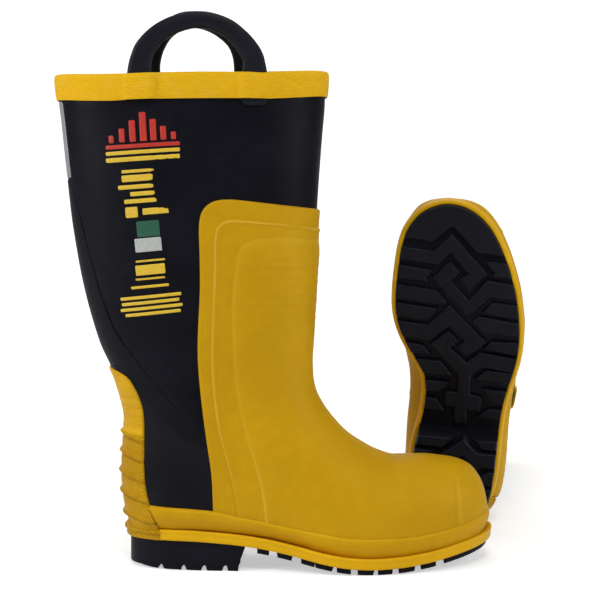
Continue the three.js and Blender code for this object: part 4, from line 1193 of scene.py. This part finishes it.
def trim_to_plan(outline):
    """Cuts an outline at the sole plan, following the plan the short way where it leaves it."""
    outline = np.asarray(outline, float)
    inside = outline_distance(outline, PLAN) > 0
    if inside.all():
        return outline
    first = int(np.nonzero(inside & ~np.roll(inside, 1))[0][0])
    outline, inside = np.roll(outline, -first, 0), np.roll(inside, -first)
    n, m = len(outline), len(PLAN)
    kept, i = [], 0
    while i < n:
        kept.append(outline[i])
        back = i + 1
        if not inside[back % n]:
            while not inside[back % n]:
                back += 1
            leave, edge_a = plan_crossing(outline[i], outline[(i + 1) % n])
            enter, edge_b = plan_crossing(outline[back % n], outline[(back - 1) % n])
            forwards = [(edge_a + 1 + k) % m for k in range((edge_b - edge_a) % m)]
            backwards = [(edge_a - k) % m for k in range((edge_a - edge_b) % m)]
            arc = forwards if len(forwards) <= len(backwards) else backwards
            kept += [leave] + [PLAN[k] for k in arc[::2]] + [enter]
        i = back
    kept = np.array(kept)
    return kept[np.linalg.norm(kept - np.roll(kept, 1, 0), axis=1) > 0.25]


def lug(outline, flank, on_ground):
    """One lug with drafted sides and a chamfered tread face: vertices, faces, flatness."""
    corners = trim_to_plan(outline)
    if area(corners) < 0:
        corners = corners[::-1]
    # extra points along straight edges let the lug follow the sole's curve
    points = []
    for a, b in zip(corners, np.roll(corners, -1, 0)):
        count = max(1, int(np.linalg.norm(b - a) / 7))
        points += [a + (b - a) * t / count for t in range(count)]
    points = np.array(points)
    on_rim = np.abs(outline_distance(points, PLAN)) < 0.6
    rings = []
    for out, height in flank:
        ring = offset_outline(points, out)
        if out > 0:
            ring[on_rim] = points[on_rim]
        base = 0.0 if on_ground else sole_z(ring[:, 0])
        rings.append(np.column_stack([ring, np.zeros(len(ring)) + base + height]))
    verts = np.vstack(rings)
    if on_ground:
        # worn bevel at the back of the heel
        worn = 2.6 * smooth(34, 6, verts[:, 0]) + 0.6 * smooth(80, 30, verts[:, 0])
        verts[:, 2] += worn * (verts[:, 2] < 1.5)
    size = len(points)
    faces = ring_walls(size, 4)
    for base in (0, 3 * size):
        cap = [Vector((x, y, 0)) for x, y in verts[base:base + size, :2]]
        faces += [[base + i for i in tri] for tri in tessellate_polygon([cap])]
    return verts, faces, np.r_[np.zeros(3 * size), np.ones(size)]


def slab(outline, step, bottom, top):
    """A closed slab over a plan outline, between two height functions of plan points."""
    low, high = outline.min(0) - step, outline.max(0) + step
    xs, ys = np.arange(low[0], high[0], step), np.arange(low[1], high[1], step)
    points = np.column_stack([axis.ravel() for axis in np.meshgrid(xs, ys, indexing="ij")])
    n = len(ys)
    i, j = (axis.ravel() for axis in np.meshgrid(
        np.arange(len(xs) - 1), np.arange(n - 1), indexing="ij"))
    a = i * n + j
    tris = np.concatenate([np.column_stack([a, a + n, a + n + 1]),
                           np.column_stack([a, a + n + 1, a + 1])])
    verts = np.column_stack([points, outline_distance(points, outline)])
    verts, tris = compact(verts, tris[verts[tris, 2].max(1) > 0])
    verts, tris = split(verts, tris, 2, 0.0)
    verts, tris = compact(verts, tris[verts[tris, 2].mean(1) > 0])
    points = verts[:, :2]
    return close_skin(np.column_stack([points, bottom(points)]),
                      np.column_stack([points, top(points)]), tris[:, [0, 2, 1]])


def heel_block():
    """The block behind the arch, with a raked front face."""
    outline = PLAN[PLAN[:, 0] < 101.0]
    gaps = np.linalg.norm(outline - np.roll(outline, 1, 0), axis=1)
    outline = np.roll(outline, -int(np.argmax(gaps)), 0)
    if area(outline) < 0:
        outline = outline[::-1]
    rings = []
    # height (None: 2 mm above the sole's lower edge), forward rake of the front, inset
    for z, rake, inset in ((4.4, -2.5, 0.25), (5.2, -2.2, 0.0), (14.0, 1.5, 0.0),
                           (None, 4.5, 0.0)):
        x, y = offset_outline(outline, -inset).T
        x = np.where(x > 92, x + rake * (x - 92) / 9, x)
        rings.append(np.column_stack([x, y, sole_z(x) + 2.0 if z is None
                                      else np.full(len(x), z)]))
    return sweep(rings)


def outsole_piece():
    def rounded(part):
        return *part, np.zeros(len(part[0]))

    parts = [rounded(slab(PLAN, 4.0, lambda plan: sole_z(plan[:, 0]) + 1.2,
                          lambda plan: sole_z(plan[:, 0]) + 3.5))]
    parts += [lug(outline, SOLE_LUG_FLANK, on_ground=False) for outline in SOLE_LUGS]
    parts.append(rounded(heel_block()))
    parts += [lug(outline, HEEL_LUG_FLANK, on_ground=True) for outline in HEEL_LUGS]
    verts, faces = merge([part[:2] for part in parts])
    return verts, faces, {"flat": np.concatenate([part[2] for part in parts])}


def insole_piece():
    outline = resample(offset_outline(PLAN, -12.0), 200)

    def top(plan):
        rim = np.clip(outline_distance(plan, outline), 0, 3)
        return (sole_z(plan[:, 0]) + 21.2 + 1.1 * np.sqrt(np.clip(rim / 3, 0, 1))
                + 0.4 * smooth(4, 40, np.abs(plan[:, 1])))

    return *slab(outline, 4.0, lambda plan: sole_z(plan[:, 0]) + 18.9, top), {}


# ------------------------------------------------------------------ collar tape and handles
# x and half length of the handle roots, on the outer (-1) and inner (1) side
HANDLE_ROOTS = {-1: [(20.0, 11.0), (110.6, 11.5)], 1: [(18.5, 11.0), (100.2, 11.5)]}


def tape_piece():
    """The tape hugs the collar and bulges over the handle roots."""
    count = 260 // COARSE
    side = np.linspace(-1, 1, count, endpoint=False)
    path = np.full(count, PATH_END)
    rim = surface(path, side)
    normals = np.cross(around(path, side), (0, 0, 1.0))
    normals /= np.linalg.norm(normals, axis=1)[:, None]
    if np.einsum("ij,ij->i", normals, rim - rim.mean(0)).mean() < 0:
        normals = -normals
    # horizontal shift of the wall per mm of height
    below = surface(path - 40.0, side)
    slopes = (rim - below) / np.maximum(rim[:, 2:3] - below[:, 2:3], 1)
    turns = np.linspace(0, 1, count, endpoint=False) * 2 * np.pi
    rings = []
    for turn, point, normal, slope in zip(turns, rim, normals, slopes):
        bulge = 0.0
        if abs(point[1]) > 30:
            roots = HANDLE_ROOTS[-1 if point[1] < 0 else 1]
            bulge = max(0.0, *[1 - smooth(half - 1.5, half + 2.5, abs(point[0] - x))
                               for x, half in roots])
        wave = 0.35 * math.sin(3 * turn + 1) + 0.25 * math.sin(7 * turn)
        out = 2.1 + 2.9 * bulge + 0.25 * wave
        # distance out from the leg surface, height
        profile = np.array([
            (out - 0.9, 383.7 + 0.5 * wave), (out - 0.1, 383.3 + 0.5 * wave),
            (out + 0.35, 384.6), (out + 0.55, 389), (out + 0.6, 394), (out + 0.45, 399.5),
            (out, 402.6), (out - 1.2, 404.1 + 0.2 * wave), (-2.5, 404.6 + 0.25 * wave),
            (-6.6, 404.1), (-7.9, 402.6), (-8.2, 399), (-8.1, 392), (-7.8, 386.6),
            (-7.0, 386.2), (-6.7, 387), (-6.7, 400), (-5.8, 402.5), (-1.0, 402.8),
            (0.1, 402.2), (0.15, 392), (0.15 + max(0, out - 2.1) * 0.9, 384.6)])
        z = profile[:, 1:]
        ring = point + normal * profile[:, :1] + slope * (z - LEG_TOP)
        ring[:, 2:] = z
        rings.append(ring)
    verts, faces = sweep(rings, closed=True)
    return collar(verts), faces, {}


# Handle centre lines (x, z) from the rear root to the front root
HANDLE_PATHS = {
    -1: [(19.2, 380.5), (19.3, 382.5), (19.6, 392.0), (19.8, 400.5), (20.2, 406.0),
         (21.4, 411.5), (24.2, 418.5), (32, 427.8), (43, 435.2), (56, 439.8), (66, 441),
         (77, 439.6), (89.5, 434.4), (99.5, 425.8), (106.0, 417.5), (109.6, 410.8),
         (110.5, 405.5), (110.9, 400.0), (111.0, 391.0), (111.0, 380.0), (111.0, 375.6),
         (111.0, 373.4)],
    1: [(18.0, 380.5), (18.0, 382.5), (18.2, 392.0), (18.3, 400.5), (18.4, 406.0),
        (18.8, 412.0), (20, 420), (24.5, 431.5), (33, 443), (45, 450.5), (55, 452.5),
        (66, 451.5), (79, 446.5), (92, 436.5), (98.3, 424.0), (99.9, 412.0),
        (100.0, 405.5), (100.2, 400.0), (100.4, 391.0), (100.4, 380.0), (100.4, 375.6),
        (100.4, 373.4)]}
# Their sections: half width, half thickness, freedom (0 on the leg, 1 in the free loop)
HANDLE_SECTIONS = [
    (9.4, 0.9, 0.0), (10.3, 1.35, 0.0), (10.2, 1.5, 0.0), (9.6, 2.4, 0.35), (9.0, 3.7, 0.8),
    (8.5, 4.5, 1.0), (8.2, 4.7, 1.0), (7.6, 4.8, 1.0), (7.2, 4.9, 1.0), (6.9, 4.9, 1.0),
    (6.8, 4.9, 1.0), (6.9, 4.9, 1.0), (7.3, 4.8, 1.0), (7.8, 4.7, 1.0), (8.4, 4.6, 1.0),
    (8.7, 4.4, 1.0), (9.2, 3.6, 0.8), (10.0, 2.4, 0.35), (10.8, 1.5, 0.0), (11.0, 0.9, 0.0),
    (9.6, 0.6, 0.0), (6.4, 0.35, 0.0)]


def leg_half_width(x, z):
    """Half width of the leg near the collar."""
    back = -35 - 18.5 * (z - 250) / 152
    front = 164.2 + 5.2 * (z - 322) / 80
    width = 52.4 + 3.1 * np.clip((z - 286) / 116, 0, 1.1)
    u = np.clip(np.abs((x - (back + front) / 2) / ((front - back) / 2)), 0, 0.999)
    return width * (1 - u ** 2.2) ** (1 / 2.2)


def handle_piece(sign):
    """Pull handle on the outer (-1) or inner (1) side."""
    stations = catmull(np.hstack([HANDLE_PATHS[sign], HANDLE_SECTIONS]), 4, closed=False)
    angles = 2 * np.pi * (np.arange(20) + 0.5) / 20
    cos, sin = np.cos(angles), np.sin(angles)
    rings = []
    for i, (x, z, half_width, half_thickness, free) in enumerate(stations):
        tangent = stations[min(i + 1, len(stations) - 1), :2] - stations[max(i - 1, 0), :2]
        tangent /= np.linalg.norm(tangent)
        across = np.sign(cos) * np.abs(cos) ** 0.72 * half_width
        out = np.sign(sin) * np.abs(sin) ** 0.72 * half_thickness
        # a soft moulded ridge along the inner rim
        out += 0.35 * free * bell(cos, -0.75, 0.18) * np.sign(sin)
        ring_x, ring_z = x + tangent[1] * across, z - tangent[0] * across
        on_leg = leg_half_width(ring_x, np.minimum(ring_z, 404.0)) + 1.9 + out
        in_loop = HANDLE_Y + out
        if sign > 0:   # the inner loop leans towards the middle
            in_loop -= 0.5 * np.maximum(0.0, ring_z - 409.5)
        ring_y = sign * (on_leg * (1 - free) + in_loop * free)
        rings.append(np.column_stack([ring_x, ring_y, ring_z]))
    return *sweep(rings), {}


# ------------------------------------------------------------------ flat items on the leg
def patch_piece():
    """Rectangle on the back of the leg."""
    def region(points):
        x, y, z = points.T
        inset = np.minimum.reduce([19 - np.abs(y), z - 317, 382 - z])
        return np.where(x < 30, inset, -9.0)

    sheet = grid(path_at(270), PATH_END, 70, -0.3, 0.3, 60)
    verts, faces, attrs = layer(sheet, region, lambda points: 0.75, inner=0.02, edge=0.7,
                                low=0.2)
    return collar(verts), faces, attrs


INKS = ["ink_red", "ink_yellow", "ink_grey", "ink_green"]
RED, YELLOW, GREY, GREEN = range(4)


def stacked_bars(spans, low, high, pitch):
    """Yellow bars below one another; spans are their x ranges, low and high the first's z."""
    return [(x0, x1, low - k * pitch, high - k * pitch, YELLOW)
            for k, (x0, x1) in enumerate(spans)]


# printed bars on the outer side: x from, x to, z from, z to, ink
EMBLEM = [(-5.5 + i * 8.4, -5.5 + i * 8.4 + width, 345.0, 345.0 + height, RED)
          for i, (height, width) in enumerate([(6, 4.0), (11, 4.6), (17, 5.0), (23, 5.4),
                                               (17, 5.0), (11, 4.6), (6, 4.0)])]
EMBLEM += [(-8, 52, 340.0, 343.2, RED), (-8, 52, 335.2, 338.2, YELLOW),
           (-8, 52, 329.6, 333.2, YELLOW)]
PANEL = [
    (5, 41, 320.5, 323.0, YELLOW), (5, 41, 313.5, 318.8, YELLOW),
    *stacked_bars([(2, 46), (12, 37), (7, 43)], 307.6, 311.0, 5.7),
    (8, 18, 285.0, 293.5, YELLOW), (22, 43, 286.5, 291.6, YELLOW),
    (17.2, 35.6, 269.0, 281.5, GREEN), (15.6, 37.2, 257.0, 268.0, GREY),
    (16, 40, 249.0, 250.6, YELLOW), (16, 40, 238.5, 246.6, YELLOW),
    (16, 40, 234.6, 236.2, YELLOW), (12, 43, 228.0, 230.2, YELLOW),
    *stacked_bars([(3, 53), (4, 51.5), (3, 54), (7, 52.5)], 219.6, 222.2, 4.5)]
OUTER_SIDE = grid(path_at(190), PATH_END, 220, -0.78, -0.16, 140)


def print_piece(bars):
    """Thin printed bars: the piece and the ink of each face."""
    parts, face_inks = [], []
    for x0, x1, z0, z1, ink_index in bars:
        def region(points):
            # rows rise slightly towards the front, square to the leg's axis
            tilt = np.interp(z0, [210, 340], [0.115, 0.055])
            x = points[:, 0] + tilt * (points[:, 2] - (z0 + z1) / 2)
            z = points[:, 2] - tilt * (points[:, 0] - 25.0)
            return np.minimum.reduce([x - x0, x1 - x, z - z0, z1 - z])

        verts, faces, _ = layer(OUTER_SIDE, region, lambda points: 0.42, inner=0.1, edge=0.3,
                                low=0.12, levels=(0.0,))
        parts.append((verts, faces))
        face_inks += [ink_index] * len(faces)
    return (*merge(parts), {}), face_inks


# ------------------------------------------------------------------ objects
def add(side, name, piece, materials, replaced, slot, body=None, sharp=38, face_slots=None,
        blank=("cav", "kn", "flat")):
    """Makes one boot's object from a piece in boot millimetres; the left one is mirrored.

    blank names the attributes that are filled with zeros where the piece lacks them.
    """
    verts, faces, attrs = piece
    attrs = {**{key: np.zeros(len(verts)) for key in blank if key not in attrs}, **attrs}
    matrix = np.array(BOOT_MATRIX[side])
    world = verts @ matrix[:3, :3].T + matrix[:3, 3]
    order = -1 if side == "l" else 1
    mesh = bpy.data.meshes.new(name)
    mesh.from_pydata(world.tolist(), [], [[int(i) for i in face][::order] for face in faces])
    attribute = mesh.attributes.new("bc", "FLOAT_VECTOR", "POINT")
    attribute.data.foreach_set("vector", verts.astype(np.float32).ravel())
    for key, values in attrs.items():
        attribute = mesh.attributes.new(key, "FLOAT", "POINT")
        attribute.data.foreach_set("value", np.asarray(values, np.float32))
    for material in materials:
        mesh.materials.append(MATERIALS[material])
    if face_slots is not None:
        mesh.polygons.foreach_set("material_index", np.asarray(face_slots, np.int32))
    mesh.polygons.foreach_set("use_smooth", [True] * len(mesh.polygons))
    mesh.set_sharp_from_angle(angle=math.radians(sharp))
    mesh.validate()
    mesh.update()
    item = bpy.data.objects.new(f"{side}_{name}", mesh)
    bpy.context.scene.collection.objects.link(item)
    if body is not None:
        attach(item, body)
    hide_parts(*[f"{side}_{node}" for node in replaced])
    return item


def fix_normals(item, sharp=30):
    mesh = bmesh.new()
    mesh.from_mesh(item.data)
    bmesh.ops.recalc_face_normals(mesh, faces=mesh.faces)
    mesh.to_mesh(item.data)
    mesh.free()
    item.data.set_sharp_from_angle(angle=math.radians(sharp))


# name, piece, material, replaced CAD nodes, slot, sharp angle in degrees
PARTS = [
    ("leg_shell", leg_piece(), "black_rubber", ["shaft"], "black_rubber", 38),
    ("lining_sock", lining_piece(), "lining_textile", ["lining"], "lining_textile", 38),
    ("shin_vamp_toe", overlay_piece(), "overlay_rubber", ["overlay"], "yellow_rubber", 50),
    ("foxing_band", foxing_piece(), "yellow_rubber", ["foxing"], "yellow_rubber", 50),
    ("ankle_quarter", quarter_piece(), "black_rubber", ["quarter"], "black_rubber", 60),
    ("heel_counter_strip", strip_piece(), "yellow_knurl", ["heel_strip"], "yellow_rubber", 60),
    ("heel_band", heel_band_piece(), "yellow_knurl", [], "yellow_rubber", 50),
    ("sole_edge", sole_edge_piece(), "welt_rubber", ["welt"], "yellow_rubber", 40),
    ("lug_sole", outsole_piece(), "tread_rubber", ["outsole"], "tread_rubber", 30),
    ("collar_tape", tape_piece(), "yellow_tape", ["binding"], "yellow_tape", 60),
    ("reflective_patch", patch_piece(), "reflective_tape", ["patch"], "reflective_tape", 38),
]
PRINTS = [("emblem_print", print_piece(EMBLEM), "emblem"),
          ("panel_print", print_piece(PANEL), "info_panel")]
INSOLE = insole_piece()
HANDLES = [("outer", "out", -1, handle_piece(-1)), ("inner", "in", 1, handle_piece(1))]

for side, body in (("r", "right_boot"), ("l", "left_boot")):
    for name, piece, material, replaced, slot, sharp in PARTS:
        item = add(side, name, piece, [material], replaced, slot, body, sharp)
        if name == "lug_sole":
            fix_normals(item)
    for name, (piece, face_inks), node in PRINTS:
        add(side, name, piece, INKS, [node], "print_film", body, sharp=60,
            face_slots=face_inks, blank=("cav",))
    add(side, "insole_sheet", INSOLE, ["insole_felt"], ["insole"], "insole_felt",
        f"{side}_insole_body", sharp=60, blank=())
    for place, short, sign, piece in HANDLES:
        item = add(side, f"pull_handle_{place}", piece, ["handle_rubber"],
                   [f"handle_{short}", f"root_{short}_rear", f"root_{short}_front"],
                   "handle_rubber", sharp=60)
        start, end = (BOOT_MATRIX[side] @ Vector((65, sign * HANDLE_Y, z))
                      for z in (403.5, 417.0))
        tuple(start)
        tuple(end)
        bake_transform(item)

# CAD parts inside the boots keep their meshes
INSIDE = {"shin_pad": "foam", "toe_cap": "steel", "toe_bumper": "foam_filler",
          "heel_counter": "fibre_board", "shank": "steel", "mid_fill": "foam_filler",
          "heel_core": "foam_filler", "plate": "steel", "insole_board": "fibre_board"}
for item in list(bpy.data.objects):
    node = item.get("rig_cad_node")
    if node and node[2:] in INSIDE:
        item.data.materials.clear()
        item.data.materials.append(MATERIALS[INSIDE[node[2:]]])


# ------------------------------------------------------------------ floor, light, camera; metres
def camera_strength(tree, socket, operation, *values):
    """Drives a strength from whether the ray comes from the camera."""
    rays = tree.nodes.new("ShaderNodeLightPath")
    strength = tree.nodes.new("ShaderNodeMath")
    strength.operation = operation
    for i, value in enumerate(values, 1):
        strength.inputs[i].default_value = value
    tree.links.new(rays.outputs["Is Camera Ray"], strength.inputs[0])
    tree.links.new(strength.outputs[0], socket)


def studio_floor():
    """A floor that curves up into a backdrop at +Y."""
    material = bpy.data.materials.new("studio_floor")
    material.use_nodes = True
    surface_inputs = material.node_tree.nodes["Principled BSDF"].inputs
    surface_inputs["Base Color"].default_value = (0.90, 0.90, 0.90, 1)
    surface_inputs["Roughness"].default_value = 0.9
    surface_inputs["Specular IOR Level"].default_value = 0.1
    surface_inputs["Emission Color"].default_value = (1, 1, 1, 1)
    # glows to the camera only, so it reads white without lighting the boots
    camera_strength(material.node_tree, surface_inputs["Emission Strength"], "MULTIPLY", 0.50)
    bend_y, radius = 1.3, 0.9
    profile = [(-4.0, 0.0), (bend_y, 0.0)]
    profile += [(bend_y + radius * math.sin(a), radius - radius * math.cos(a))
                for a in np.linspace(0.1, math.pi / 2, 14)]
    profile.append((bend_y + radius, 4.0))
    count = len(profile)
    mesh = bpy.data.meshes.new("studio_floor")
    mesh.from_pydata([(x, y, z) for x in (-5.0, 5.0) for y, z in profile], [],
                     [[i, i + 1, count + i + 1, count + i] for i in range(count - 1)])
    mesh.materials.append(material)
    mesh.polygons.foreach_set("use_smooth", [True] * len(mesh.polygons))
    floor = bpy.data.objects.new("studio_floor", mesh)
    bpy.context.scene.collection.objects.link(floor)
    floor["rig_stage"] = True


studio_floor()

# name, location, target, width, height, watts
LIGHTS = [
    ("key_left", (-1.8, -0.8, 1.0), (0.1, 0, 0.2), 0.6, 1.4, 25),
    ("key_right", (2.0, -0.8, 0.9), (0.1, 0, 0.2), 0.6, 1.4, 15),
    ("front", (0.35, -1.6, 2.0), (0.1, 0, 0.2), 0.5, 0.5, 15),
    ("top", (0.15, -0.1, 2.3), (0.15, 0.05, 0), 1.2, 0.9, 8),
    ("fill_back", (0.2, 1.6, 1.9), (0.1, 0.1, 0.15), 1.4, 0.8, 7),
]
for name, location, target, width, height, watts in LIGHTS:
    lamp = bpy.data.lights.new(name, "AREA")
    lamp.energy = watts
    lamp.shape = "RECTANGLE"
    lamp.size = width
    lamp.size_y = height
    item = bpy.data.objects.new(name, lamp)
    bpy.context.scene.collection.objects.link(item)
    item.location = location
    item.visible_camera = False
    aim = Vector(target) - Vector(location)
    item.rotation_euler = aim.to_track_quat("-Z", "Y").to_euler()

# the world is weak as a light, near white as a backdrop
world = bpy.data.worlds.new("studio")
bpy.context.scene.world = world
world.use_nodes = True
background = world.node_tree.nodes["Background"]
background.inputs[0].default_value = (1, 1, 1, 1)
camera_strength(world.node_tree, background.inputs[1], "MULTIPLY_ADD", 0.86, 0.10)

CAMERA_X = 131.1             # in the boot frame, mm
CAMERA_DISTANCE = 1150.0     # from the boots' middle plane, mm
CAMERA_HEIGHT = 287.0        # mm
VIEW_WIDTH = 498.0           # width seen at that distance, mm
VIEW_SHIFT = (16.6, -71.38)  # of the view's centre, right and up, mm
camera_data = bpy.data.cameras.new("camera")
camera_data.sensor_width = 36.0
camera_data.lens = CAMERA_DISTANCE / VIEW_WIDTH * 36.0
camera_data.shift_x = VIEW_SHIFT[0] / VIEW_WIDTH
camera_data.shift_y = VIEW_SHIFT[1] / VIEW_WIDTH
camera_data.clip_start = 0.05
camera_data.clip_end = 30
camera = bpy.data.objects.new("camera", camera_data)
bpy.context.scene.collection.objects.link(camera)
camera.location = ((CAMERA_X - ORIGIN_X) / 1000, -CAMERA_DISTANCE / 1000, CAMERA_HEIGHT / 1000)
camera.rotation_euler = (math.radians(90), 0, 0)
bpy.context.scene.camera = camera
bpy.context.scene.view_settings.view_transform = "Standard"
bpy.context.scene.view_settings.look = "None"

VISUAL_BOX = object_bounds()
({key: [list(map(float, corner)) for corner in box]
           for key, box in (("cad", CAD_BOX), ("visual", VISUAL_BOX))})
